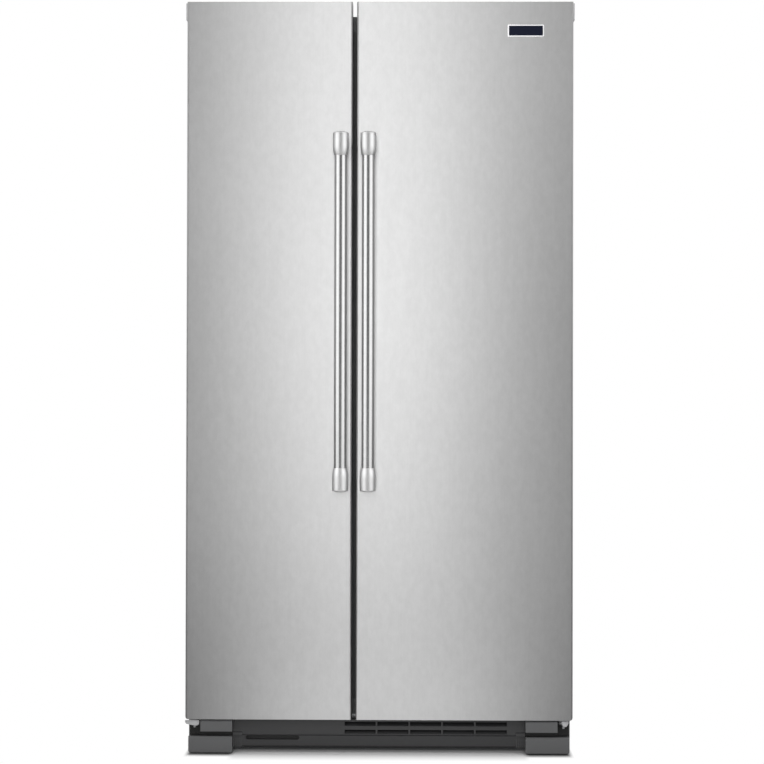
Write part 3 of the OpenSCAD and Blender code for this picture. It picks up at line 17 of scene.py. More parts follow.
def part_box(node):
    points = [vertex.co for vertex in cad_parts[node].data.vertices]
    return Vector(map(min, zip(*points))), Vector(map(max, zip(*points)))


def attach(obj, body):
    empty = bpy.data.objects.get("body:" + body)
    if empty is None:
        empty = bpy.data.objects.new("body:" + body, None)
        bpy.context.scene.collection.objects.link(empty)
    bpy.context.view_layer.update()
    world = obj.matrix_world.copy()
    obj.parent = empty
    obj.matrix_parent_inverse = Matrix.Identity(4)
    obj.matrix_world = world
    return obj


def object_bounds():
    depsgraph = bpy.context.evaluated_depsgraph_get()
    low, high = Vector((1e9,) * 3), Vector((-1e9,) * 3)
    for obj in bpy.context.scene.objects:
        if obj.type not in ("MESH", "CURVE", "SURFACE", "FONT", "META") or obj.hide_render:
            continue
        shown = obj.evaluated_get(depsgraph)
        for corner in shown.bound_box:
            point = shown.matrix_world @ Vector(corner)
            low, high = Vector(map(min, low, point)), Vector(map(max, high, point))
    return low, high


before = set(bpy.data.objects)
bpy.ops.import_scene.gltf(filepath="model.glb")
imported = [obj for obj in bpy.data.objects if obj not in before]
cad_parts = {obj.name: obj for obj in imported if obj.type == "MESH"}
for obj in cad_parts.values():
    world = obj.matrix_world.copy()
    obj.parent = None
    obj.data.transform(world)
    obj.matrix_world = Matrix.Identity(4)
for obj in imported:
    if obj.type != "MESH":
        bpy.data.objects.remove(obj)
CAD_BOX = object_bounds()
LOG = logging.getLogger("refrigerator")

Colour = tuple[float, float, float]
Point = tuple[float, float, float]

WHITE = (1.0, 1.0, 1.0, 1.0)


# ---- Shader expressions -------------------------------------------------------


class Wire:
    """A shader socket that takes part in Python arithmetic.

    Args:
        graph: The material graph that the socket belongs to.
        socket: An output socket.
    """

    def __init__(self, graph: "Graph", socket: bpy.types.NodeSocket) -> None:
        """Keeps the graph and the socket."""
        self.graph = graph
        self.socket = socket

    def _math(self, operation: str, a: "Wire | float", b: "Wire | float") -> "Wire":
        """Adds a Math node.

        Args:
            operation: The node's operation.
            a: First value.
            b: Second value.

        Returns:
            The result.
        """
        return self.graph.add("ShaderNodeMath", {"operation": operation}, {0: a, 1: b})

    def __add__(self, other: "Wire | float") -> "Wire":
        """Sum."""
        return self._math("ADD", self, other)

    def __radd__(self, other: "Wire | float") -> "Wire":
        """Reflected sum."""
        return self._math("ADD", other, self)

    def __sub__(self, other: "Wire | float") -> "Wire":
        """Difference."""
        return self._math("SUBTRACT", self, other)

    def __rsub__(self, other: "Wire | float") -> "Wire":
        """Reflected difference."""
        return self._math("SUBTRACT", other, self)

    def __mul__(self, other: "Wire | float") -> "Wire":
        """Product."""
        return self._math("MULTIPLY", self, other)

    def __rmul__(self, other: "Wire | float") -> "Wire":
        """Reflected product."""
        return self._math("MULTIPLY", other, self)

    def __pow__(self, other: "Wire | float") -> "Wire":
        """Power."""
        return self._math("POWER", self, other)

    def maths(self, operation: str, other: "Wire | float" = 0.0) -> "Wire":
        """Any other Math operation on this value.

        Args:
            operation: The node's operation.
            other: Second value, where the operation has one.

        Returns:
            The result.
        """
        return self._math(operation, self, other)

    def out(self, name: str) -> "Wire":
        """Another output of the same node.

        Args:
            name: The output's name.

        Returns:
            That output.
        """
        return Wire(self.graph, self.socket.node.outputs[name])

    def spread(self, low: float, high: float) -> "Wire":
        """Maps low..high to 0..1, clamped.

        Args:
            low: Value that becomes 0.
            high: Value that becomes 1.

        Returns:
            The mapped value.
        """
        return self.graph.add(
            "ShaderNodeMapRange",
            {"clamp": True},
            {"Value": self, "From Min": low, "From Max": high},
        )


class Graph:
    """The node tree of one material or of the world.

    Args:
        owner: A material, world or light that can hold nodes.
    """

    def __init__(self, owner: bpy.types.ID) -> None:
        """Clears the owner's nodes."""
        owner.use_nodes = True
        self.tree = owner.node_tree
        self.tree.nodes.clear()

    def add(
        self,
        kind: str,
        settings: dict[str, object] | None = None,
        inputs: dict[str | int, object] | None = None,
    ) -> Wire:
        """Adds one node.

        Args:
            kind: Blender's name of the node type.
            settings: Properties, such as a Math node's operation, set first.
            inputs: Values or wires by socket name or number.

        Returns:
            The node's first output, or its first input's side for an output node.
        """
        node = self.tree.nodes.new(kind)
        for key, value in (settings or {}).items():
            setattr(node, key, value)
        for key, value in (inputs or {}).items():
            socket = node.inputs[key]
            if isinstance(value, Wire):
                self.tree.links.new(value.socket, socket)
            else:
                socket.default_value = value
        return Wire(self, node.outputs[0]) if node.outputs else Wire(self, node.inputs[0])

    def place(self, scale: Point = (1, 1, 1)) -> Wire:
        """Object coordinates, stretched.

        Args:
            scale: Factor on each axis.

        Returns:
            The coordinates.
        """
        coordinates = self.add("ShaderNodeTexCoord").out("Object")
        return self.add("ShaderNodeMapping", {}, {"Vector": coordinates, "Scale": scale})

    def noise(self, scale: Point, detail: float = 3.0, rough: float = 0.55) -> Wire:
        """Noise in object space, 0 to 1.

        Args:
            scale: Cells per metre on each axis.
            detail: Octaves.
            rough: Strength of the higher octaves.

        Returns:
            The noise value.
        """
        return self.add(
            "ShaderNodeTexNoise",
            {},
            {"Vector": self.place(scale), "Scale": 1.0, "Detail": detail, "Roughness": rough},
        )

    def mix(self, factor: Wire, a: Wire | Colour, b: Wire | Colour) -> Wire:
        """Mixes two colours.

        Args:
            factor: 0 gives a, 1 gives b.
            a: Colour or wire.
            b: Colour or wire.

        Returns:
            The mixed colour.
        """
        node = self.tree.nodes.new("ShaderNodeMix")
        node.data_type = "RGBA"
        self.tree.links.new(factor.socket, node.inputs[0])
        for socket, value in ((node.inputs[6], a), (node.inputs[7], b)):
            if isinstance(value, Wire):
                self.tree.links.new(value.socket, socket)
            else:
                socket.default_value = (*value, 1.0)
        return Wire(self, node.outputs[2])

    def tones(self, factor: Wire, colour: Colour, shades: tuple[float, float]) -> Wire:
        """Varies a colour between two shades of itself.

        Args:
            factor: 0 gives the first shade, 1 the second.
            colour: Linear colour.
            shades: Factors on the colour.

        Returns:
            The varied colour.
        """
        return self.mix(factor, shade(colour, shades[0]), shade(colour, shades[1]))

    def bump(self, height: Wire, strength: float, depth: float) -> Wire:
        """A bump normal.

        Args:
            height: Height, 0 to 1.
            strength: Share of the effect.
            depth: Height of the relief in metres.

        Returns:
            The normal.
        """
        return self.add(
            "ShaderNodeBump", {}, {"Height": height, "Strength": strength, "Distance": depth}
        )

    def surface(self, inputs: dict[str | int, object]) -> Wire:
        """A Principled shader joined to the output.

        Args:
            inputs: Its values or wires.

        Returns:
            The shader.
        """
        shader = self.add("ShaderNodeBsdfPrincipled", {}, inputs)
        self.add("ShaderNodeOutputMaterial", {}, {"Surface": shader})
        return shader


def shade(colour: Colour, factor: float) -> Colour:
    """Makes a colour darker or lighter.

    Args:
        colour: Linear colour.
        factor: Factor on every channel.

    Returns:
        The new colour, at most 1 a channel.
    """
    return tuple(min(1.0, c * factor) for c in colour)


# ---- Finishes -----------------------------------------------------------------


class Grain(Enum):
    """Direction of a brushed surface's lines, as cells per metre on each axis."""

    UPRIGHT = (900.0, 900.0, 4.0)
    NONE = (60.0, 60.0, 60.0)


@dataclass(frozen=True)
class BrushedSteel:
    """Satin stainless steel with fine lines and a faint cloudiness.

    Attributes:
        name: The material's name.
        colour: Linear colour.
        roughness: Mean roughness.
        grain: Direction of the lines.
        depth: Height of the lines in metres.
        cloud: Cells per metre of the wide cloudiness.
        mottle: Cells per metre of the fine mottling.
        shares: Weights of lines, cloud and mottling in the tone.
        shades: Darkest and lightest factor on the colour.
        uneven: How far the lines vary the roughness.
        cloud_uneven: How far the cloudiness varies it.
    """

    name: str
    colour: Colour = (0.60, 0.60, 0.60)
    roughness: float = 0.33
    grain: Grain = Grain.UPRIGHT
    depth: float = 0.00002
    cloud: Point = (2.2, 2.2, 1.4)
    mottle: Point = (70.0, 70.0, 42.0)
    shares: tuple[float, float, float] = (0.22, 0.23, 0.55)
    shades: tuple[float, float] = (0.96, 1.035)
    uneven: float = 0.08
    cloud_uneven: float = 0.02

    def make(self) -> bpy.types.Material:
        """Builds the material."""
        material = bpy.data.materials.new(self.name)
        graph = Graph(material)
        lines = graph.noise(self.grain.value, detail=4.0, rough=0.6)
        cloud = graph.noise(self.cloud, detail=2.0, rough=0.5)
        mottle = graph.noise(self.mottle, detail=5.0, rough=0.72)
        tone = lines * self.shares[0] + cloud * self.shares[1] + mottle * self.shares[2]
        graph.surface(
            {
                "Base Color": graph.tones(tone.spread(0.40, 0.60), self.colour, self.shades),
                "Metallic": 1.0,
                "Roughness": lines * self.uneven
                + (self.roughness - self.uneven / 2)
                + cloud * self.cloud_uneven,
                "Normal": graph.bump(lines, strength=0.25, depth=self.depth),
            }
        )
        return material


@dataclass(frozen=True)
class PaintedMetal:
    """Powder coat or galvanised sheet with a soft orange peel.

    Attributes:
        name: The material's name.
        colour: Linear colour.
        roughness: Mean roughness.
        metallic: Share of bare metal.
        peel: Cells per metre of the orange peel.
        depth: Height of the peel in metres.
        wear: Cells per metre of the uneven gloss.
        shades: Darkest and lightest factor on the colour.
        uneven: How far the roughness varies.
    """

    name: str
    colour: Colour
    roughness: float = 0.45
    metallic: float = 0.0
    peel: float = 700.0
    depth: float = 0.00012
    wear: float = 5.0
    shades: tuple[float, float] = (0.94, 1.05)
    uneven: float = 0.12

    def make(self) -> bpy.types.Material:
        """Builds the material."""
        material = bpy.data.materials.new(self.name)
        graph = Graph(material)
        peel = graph.noise((self.peel,) * 3, detail=2.0, rough=0.5)
        wear = graph.noise((self.wear,) * 3, detail=4.0, rough=0.6)
        graph.surface(
            {
                "Base Color": graph.tones(wear.spread(0.3, 0.75), self.colour, self.shades),
                "Metallic": self.metallic,
                "Roughness": wear * self.uneven + (self.roughness - self.uneven / 2),
                "Normal": graph.bump(peel, strength=0.3, depth=self.depth),
            }
        )
        return material


@dataclass(frozen=True)
class MouldedPlastic:
    """Opaque moulded plastic with a fine spark-eroded grain, and painted shade in its recesses
    where asked.

    Attributes:
        name: The material's name.
        colour: Linear colour.
        roughness: Mean roughness.
        grain: Cells per metre of the grain.
        depth: Height of the grain in metres.
        ior: Index of refraction.
        recess_shade_depths: Depths behind the front between which recesses darken with painted
            shade, if they do.
        recess_shade_factor: Factor on the colour where the painted shade in a recess is darkest.
        flow: Cells per metre of the uneven tone.
        shades: Darkest and lightest factor on the colour.
        uneven: How far the roughness varies.
    """

    name: str
    colour: Colour
    roughness: float = 0.4
    grain: float = 1400.0
    depth: float = 0.00005
    ior: float = 1.46
    recess_shade_depths: tuple[float, float] | None = None
    recess_shade_factor: float = 0.06
    flow: float = 7.0
    shades: tuple[float, float] = (0.97, 1.03)
    uneven: float = 0.10

    def make(self, front: float = 0.0) -> bpy.types.Material:
        """Builds the material.

        Args:
            front: The moulding's front on the Y axis, from which the depths of the painted recess
                shade count.

        Returns:
            The material.
        """
        material = bpy.data.materials.new(self.name)
        graph = Graph(material)
        grain = graph.noise((self.grain,) * 3, detail=2.0, rough=0.5)
        flow = graph.noise((self.flow,) * 3, detail=3.0, rough=0.5)
        tone = graph.tones(flow.spread(0.3, 0.7), self.colour, self.shades)
        # Painted shade: the colour darkens the further a face lies behind the front.
        if self.recess_shade_depths is not None:
            near, far = self.recess_shade_depths
            inward = graph.add("ShaderNodeSeparateXYZ", {}, {0: graph.place()}).out("Y")
            painted_recess_shade = inward.spread(front + near, front + far)
            tone = graph.mix(painted_recess_shade, tone, shade(self.colour, self.recess_shade_factor))
        graph.surface(
            {
                "Base Color": tone,
                "Roughness": grain * self.uneven + (self.roughness - self.uneven / 2),
                "IOR": self.ior,
                "Normal": graph.bump(grain, strength=0.35, depth=self.depth),
            }
        )
        return material


@dataclass(frozen=True)
class ClearMoulding:
    """Clear or frosted plastic, and glass.

    Attributes:
        name: The material's name.
        colour: Linear tint.
        roughness: Least roughness.
        clear: Share of light that passes.
        ior: Index of refraction.
        haze: Cells per metre of the faint haze.
        shades: Darkest and lightest factor on the tint.
        uneven: How far the haze raises the roughness.
    """

    name: str
    colour: Colour
    roughness: float = 0.06
    clear: float = 0.85
    ior: float = 1.49
    haze: float = 22.0
    shades: tuple[float, float] = (0.97, 1.02)
    uneven: float = 0.04

    def make(self) -> bpy.types.Material:
        """Builds the material."""
        material = bpy.data.materials.new(self.name)
        graph = Graph(material)
        haze = graph.noise((self.haze,) * 3, detail=3.0, rough=0.5)
        graph.surface(
            {
                "Base Color": graph.tones(haze.spread(0.3, 0.7), self.colour, self.shades),
                "Roughness": haze * self.uneven + self.roughness,
                "Transmission Weight": self.clear,
                "IOR": self.ior,
            }
        )
        return material


@dataclass(frozen=True)
class RigidFoam:
    """Cream foam with fine cells.

    Attributes:
        name: The material's name.
        colour: Linear colour of a cell's rim.
        cells: Cells per metre.
        depth: Height of the cells in metres.
        shades: Factor on the colour at a cell's middle and at its rim.
        roughness: The same all over.
    """

    name: str
    colour: Colour = (0.78, 0.69, 0.46)
    cells: float = 900.0
    depth: float = 0.0005
    shades: tuple[float, float] = (0.8, 1.0)
    roughness: float = 0.9

    def make(self) -> bpy.types.Material:
        """Builds the material."""
        material = bpy.data.materials.new(self.name)
        graph = Graph(material)
        cells = graph.add(
            "ShaderNodeTexVoronoi", {}, {"Vector": graph.place(), "Scale": self.cells}
        ).out("Distance")
        graph.surface(
            {
                "Base Color": graph.tones(cells.spread(0.0, 0.9), self.colour, self.shades),
                "Roughness": self.roughness,
                "Normal": graph.bump(cells, strength=0.5, depth=self.depth),
            }
        )
        return material


@dataclass(frozen=True)
class SoftRubber:
    """Matt vinyl of a door seal.

    Attributes:
        name: The material's name.
        colour: Linear colour.
        bloom: Cells per metre of the chalky bloom.
        depth: Height of the bloom in metres.
        shades: Darkest and lightest factor on the colour.
        roughness: Least roughness.
        uneven: How far the bloom raises it.
    """

    name: str
    colour: Colour = (0.28, 0.285, 0.29)
    bloom: float = 40.0
    depth: float = 0.0002
    shades: tuple[float, float] = (1.0, 1.15)
    roughness: float = 0.55
    uneven: float = 0.15

    def make(self) -> bpy.types.Material:
        """Builds the material."""
        material = bpy.data.materials.new(self.name)
        graph = Graph(material)
        bloom = graph.noise((self.bloom,) * 3, detail=4.0, rough=0.6)
        graph.surface(
            {
                "Base Color": graph.tones(bloom.spread(0.35, 0.7), self.colour, self.shades),
                "Roughness": bloom * self.uneven + self.roughness,
                "Normal": graph.bump(bloom, strength=0.2, depth=self.depth),
            }
        )
        return material


# ---- Shared making ------------------------------------------------------------


def dress(names: list[str], material: bpy.types.Material) -> None:
    """Gives CAD nodes a material.

    Args:
        names: Node names.
        material: Their new material.
    """
    for name in names:
        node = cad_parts[name]
        if node.data.materials:
            for index in range(len(node.data.materials)):
                node.data.materials[index] = material
        else:
            node.data.materials.append(material)


def mesh_piece(name: str, build: bmesh.types.BMesh, body: str,
               material: bpy.types.Material) -> bpy.types.Object:
    """Turns a built mesh into a piece that rides on a body.

    Args:
        name: The piece's name.
        build: The finished mesh, in the row frame.
        body: CAD body that carries it.
        material: Its material.

    Returns:
        The new object.
    """
    mesh = bpy.data.meshes.new(name)
    build.to_mesh(mesh)
    build.free()
    mesh.materials.append(material)
    piece = bpy.data.objects.new(name, mesh)
    bpy.context.scene.collection.objects.link(piece)
    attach(piece, body)
    return piece


# ---- Sub-assemblies -----------------------------------------------------------


@dataclass
class Doors:
    """Both doors: wraps, foam, inner panels, seals, end caps and bins."""

    sides: tuple[str, str] = ("freezer", "fridge")
    steel: BrushedSteel = BrushedSteel("door_steel")
    panel: MouldedPlastic = MouldedPlastic("door_panel_white", (0.80, 0.81, 0.81), 0.28)
    caps: MouldedPlastic = MouldedPlastic("door_cap_gray", (0.44, 0.445, 0.45), 0.4)
    foam: RigidFoam = RigidFoam("door_foam")
    seal: SoftRubber = SoftRubber("door_seal")
    bins: ClearMoulding = ClearMoulding("clear_bin", (0.93, 0.96, 0.97))

    def dress(self) -> None:
        """Finishes every door node."""
        parts = {
            "door_skin": self.steel.make(),
            "door_liner": self.panel.make(),
            "door_caps": self.caps.make(),
            "door_foam": self.foam.make(),
            "door_gasket": self.seal.make(),
            "door_bins": self.bins.make(),
        }
        for part, material in parts.items():
            dress([f"{side}_{part}" for side in self.sides], material)
            LOG.info("dressed %s", part)
        dress(["dairy_cover"], parts["door_bins"])


@dataclass
class Handles:
    """Round bars in turned end caps."""

    sides: tuple[str, str] = ("freezer", "fridge")
    bar: BrushedSteel = BrushedSteel("handle_bar_steel", (0.54, 0.54, 0.54), 0.15, Grain.UPRIGHT)
    cap: BrushedSteel = BrushedSteel("handle_cap_steel", (0.80, 0.80, 0.80), 0.42, Grain.NONE)

    def dress(self) -> None:
        """Finishes bars and caps."""
        dress([f"{side}_handle_bar" for side in self.sides], self.bar.make())
        dress([f"{side}_handle_caps" for side in self.sides], self.cap.make())
        LOG.info("dressed handles")


@dataclass
class Badge:
    """The blank plate with a dark field inside its bright rim.

    Attributes:
        rim: Width of the rim in metres.
        field_sunk: Depth of the field's face behind the plate's.
        field_thick: Thickness of the field.
        field_edge: Bevel of its edges.
        plate: Finish of the plate.
        enamel: Finish of the field.
    """

    rim: float = 0.0025
    field_sunk: float = 0.00032
    field_thick: float = 0.0004
    field_edge: float = 0.0002
    plate: BrushedSteel = BrushedSteel("badge_rim", (0.75, 0.75, 0.76), 0.18, Grain.NONE)
    enamel: MouldedPlastic = MouldedPlastic("badge_field", (0.006, 0.008, 0.02), 0.3, ior=1.15)

    def dress(self) -> None:
        """Finishes the plate and lays a dark enamel field in it."""
        dress(["badge_plate"], self.plate.make())
        low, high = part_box("badge_plate")
        centre = (low + high) / 2
        centre.y = low.y + self.field_sunk + self.field_thick / 2
        size = high - low - Vector((2 * self.rim, 0, 2 * self.rim))
        size.y = self.field_thick
        build = bmesh.new()
        bmesh.ops.create_cube(build, size=1.0)
        bmesh.ops.scale(build, vec=size, verts=build.verts)
        bmesh.ops.bevel(
            build, geom=list(build.edges), offset=self.field_edge, segments=2, affect="EDGES"
        )
        bmesh.ops.translate(build, vec=centre, verts=build.verts)
        mesh_piece("badge_enamel", build, "fridge_door", self.enamel.make())
        LOG.info("dressed badge")


@dataclass
class Cabinet:
    """Outer case, back, foam, liners and the rail between the doors."""

    paint: PaintedMetal = PaintedMetal("case_paint", (0.085, 0.087, 0.09), 0.42)
    zinc: PaintedMetal = PaintedMetal("zinc_sheet", (0.50, 0.51, 0.52), 0.4, 0.8, 90.0)
    white: MouldedPlastic = MouldedPlastic("liner_white", (0.82, 0.83, 0.83), 0.25)
    rail: PaintedMetal = PaintedMetal("rail_paint", (0.05, 0.05, 0.052), 0.5)
    foam: RigidFoam = RigidFoam("cabinet_foam_cells")

    def dress(self) -> None:
        """Finishes the cabinet."""
        zinc = self.zinc.make()
        dress(["outer_case"], self.paint.make())
        dress(["back_panel", "machine_cover", "base_frame"], zinc)
        dress(["freezer_liner", "fridge_liner"], self.white.make())
        dress(["centre_rail_cover"], self.rail.make())
        dress(["cabinet_foam"], self.foam.make())
        LOG.info("dressed cabinet")


@dataclass
class Interior:
    """Shelves, drawers, covers, controls and lamps."""

    frames: MouldedPlastic = MouldedPlastic("shelf_frame_white", (0.78, 0.79, 0.79), 0.3)
    glass: ClearMoulding = ClearMoulding("shelf_glass", (0.90, 0.97, 0.94), 0.02, 0.95, 1.5)
    drawer: ClearMoulding = ClearMoulding("clear_drawer", (0.92, 0.96, 0.97), 0.05, 0.85)
    basket: ClearMoulding = ClearMoulding("frosted_basket", (0.88, 0.93, 0.95), 0.3, 0.6)
    lens: ClearMoulding = ClearMoulding("lamp_lens", (0.97, 0.96, 0.90), 0.25, 0.6)
    knob: MouldedPlastic = MouldedPlastic("knob_white", (0.80, 0.80, 0.80), 0.35)
    track: PaintedMetal = PaintedMetal("track_paint", (0.80, 0.80, 0.80), 0.35)

    def dress(self) -> None:
        """Finishes everything behind the doors."""
        frames = self.frames.make()
        dress(
            ["fridge_shelf_frames", "freezer_shelf_frames", "drawer_covers", "control_housings",
             "evaporator_cover"],
            frames,
        )
        dress(["shelf_glass"], self.glass.make())
        dress(["deli_drawer", "crisper_upper", "crisper_lower"], self.drawer.make())
        dress(["freezer_basket_upper", "freezer_basket_lower"], self.basket.make())
        dress(["lamp_lenses"], self.lens.make())
        dress(
            ["fridge_control_knob", "freezer_control_knob", "fridge_light_switch",
             "freezer_light_switch"],
            self.knob.make(),
        )
        dress(["shelf_tracks"], self.track.make())
        LOG.info("dressed interior")


class Side(Enum):
    """Left or right of the front, with the sign of a step in from that side's end."""

    LEFT = 1
    RIGHT = -1


@dataclass
class Base:
    """Toe grille, foot covers, legs, rollers and hinges.

    A leaf's outline is given as distances in from the foot covers' outer end and down from
    their top, in metres.

    Attributes:
        black: Finish of the grille, with painted shade in its recesses.
        cover: Finish of the foot covers, with painted shade in their recesses.
        wheel: Finish of rollers and legs.
        plated: Finish of the hinges.
        cap: Finish of the top hinges' covers.
        leaf_back: Depth of a hinge leaf's face behind the foot covers' front.
        leaf_thick: Thickness of a hinge leaf.
        leaf_edge: Bevel of its edges.
        wide_leaf: Outline of the left leaf.
        slim_leaf: Outline of the right leaf.
    """

    # The grille and foot covers get painted shade in their recesses, between the depths given.
    black: MouldedPlastic = MouldedPlastic(
        "grille_black", (0.031, 0.031, 0.032), 0.42, recess_shade_depths=(0.0067, 0.0190)
    )
    cover: MouldedPlastic = MouldedPlastic(
        "foot_cover_gray", (0.088, 0.089, 0.091), 0.45, recess_shade_depths=(0.0075, 0.0255)
    )
    wheel: MouldedPlastic = MouldedPlastic("wheel_black", (0.03, 0.03, 0.03), 0.5)
    plated: PaintedMetal = PaintedMetal("hinge_plated", (0.50, 0.50, 0.51), 0.42, 0.5, 200.0)
    cap: MouldedPlastic = MouldedPlastic("hinge_cover_gray", (0.30, 0.305, 0.31), 0.45)
    leaf_back: float = 0.0090
    leaf_thick: float = 0.0015
    leaf_edge: float = 0.0003
    wide_leaf: tuple[tuple[float, float], ...] = (
        (-0.0085, 0.0010),
        (-0.0085, 0.0060),
        (-0.0050, 0.0100),
        (0.0070, 0.0125),
        (0.0180, 0.0140),
        (0.0240, 0.0110),
        (0.0250, 0.0010),
    )
    slim_leaf: tuple[tuple[float, float], ...] = (
        (0.0180, 0.0010),
        (0.0170, 0.0085),
        (0.0130, 0.0135),
        (0.0070, 0.0135),
        (0.0030, 0.0085),
        (0.0020, 0.0010),
    )

    def leaf(
        self,
        side: Side,
        outline: tuple[tuple[float, float], ...],
        plated: bpy.types.Material,
    ) -> None:
        """Adds the turned-down front edge of a bottom hinge plate.

        Args:
            side: The side that it is on.
            outline: Its corners.
            plated: Its finish.
        """
        low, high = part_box("foot_covers")
        front = low.y + self.leaf_back
        end = low.x if side is Side.LEFT else high.x
        build = bmesh.new()
        corners = [
            build.verts.new((end + side.value * inward, front, high.z - down))
            for inward, down in outline
        ]
        face = build.faces.new(corners)
        moved = bmesh.ops.extrude_face_region(build, geom=[face])["geom"]
        back = [item for item in moved if isinstance(item, bmesh.types.BMVert)]
        bmesh.ops.translate(build, vec=(0, self.leaf_thick, 0), verts=back)
        bmesh.ops.recalc_face_normals(build, faces=list(build.faces))
        bmesh.ops.bevel(
            build, geom=list(build.edges), offset=self.leaf_edge, segments=1, affect="EDGES"
        )
        name = f"hinge_leaf_{side.name.lower()}"
        mesh_piece(name, build, "cabinet", plated)

    def dress(self) -> None:
        """Finishes the base and the hinges."""
        plated = self.plated.make()
        for name, finish in (("front_grille", self.black), ("foot_covers", self.cover)):
            dress([name], finish.make(front=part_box(name)[0].y))
        dress(
            ["rear_roller_left", "rear_roller_right", "levelling_leg_left", "levelling_leg_right"],
            self.wheel.make(),
        )
        dress(["top_hinges", "bottom_hinges", "hinge_screws"], plated)
        self.leaf(Side.LEFT, self.wide_leaf, plated)
        self.leaf(Side.RIGHT, self.slim_leaf, plated)
        dress(["top_hinge_covers"], self.cap.make())
        LOG.info("dressed base")


@dataclass
class Machinery:
    """Compressor, coils, fans and drain pan."""

    enamel: PaintedMetal = PaintedMetal("compressor_black", (0.012, 0.012, 0.013), 0.25)
    coil: PaintedMetal = PaintedMetal("coil_black", (0.02, 0.02, 0.02), 0.4)
    fins: PaintedMetal = PaintedMetal("coil_aluminium", (0.75, 0.76, 0.77), 0.35, 1.0, 120.0)
    black: MouldedPlastic = MouldedPlastic("fan_black", (0.02, 0.02, 0.02), 0.45)
    white: MouldedPlastic = MouldedPlastic("fan_white", (0.75, 0.76, 0.76), 0.4)
    tray: MouldedPlastic = MouldedPlastic("tray_gray", (0.16, 0.16, 0.165), 0.45)

    def dress(self) -> None:
        """Finishes the cooling machinery."""
        dress(["compressor"], self.enamel.make())
        dress(["condenser"], self.coil.make())
        dress(["evaporator"], self.fins.make())
        dress(["fan_housings", "condenser_fan"], self.black.make())
        dress(["evaporator_fan"], self.white.make())
        dress(["drain_pan"], self.tray.make())
        LOG.info("dressed machinery")


# ---- Studio -------------------------------------------------------------------


HANDLES = (
    "freezer_handle_bar",
    "fridge_handle_bar",
    "freezer_handle_caps",
    "fridge_handle_caps",
)
WRAPS = ("freezer_door_skin", "fridge_door_skin")


class Reach(Enum):
    """Which surfaces a lamp lights: the named nodes only, or all but them."""

    SATIN = ("EXCLUDE", HANDLES)
    MATT = ("EXCLUDE", HANDLES + WRAPS)
    ROUND = ("INCLUDE", HANDLES)


@dataclass
class Lamp:
    """One soft rectangular lamp.

    Attributes:
        name: The lamp's name.
        place: Its centre in metres.
        target: The point that it faces.
        size: Width and height in metres.
        power: Watts.
        reach: The surfaces it lights.
    """

    name: str
    place: Point
    target: Point
    size: tuple[float, float]
    power: float
    reach: Reach

    def build(self) -> None:
        """Adds the lamp."""
        light = bpy.data.lights.new(self.name, "AREA")
        light.shape = "RECTANGLE"
        light.size, light.size_y = self.size
        light.energy = self.power
        lamp = bpy.data.objects.new(self.name, light)
        aim = Vector(self.target) - Vector(self.place)
        lamp.matrix_world = Matrix.Translation(self.place) @ aim.to_track_quat(
            "-Z", "Y"
        ).to_matrix().to_4x4()
        lamp.visible_camera = False
        bpy.context.scene.collection.objects.link(lamp)
        self._link(lamp)

    def _link(self, lamp: bpy.types.Object) -> None:
        """Keeps the lamp on, or off, the metal that its reach names.

        Args:
            lamp: The lamp's object.
        """
        state, names = self.reach.value
        group = bpy.data.collections.new(f"{self.name}_reach")
        for name in names:
            group.objects.link(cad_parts[name])
        for member in group.collection_objects:
            member.light_linking.link_state = state
        lamp.light_linking.receiver_collection = group


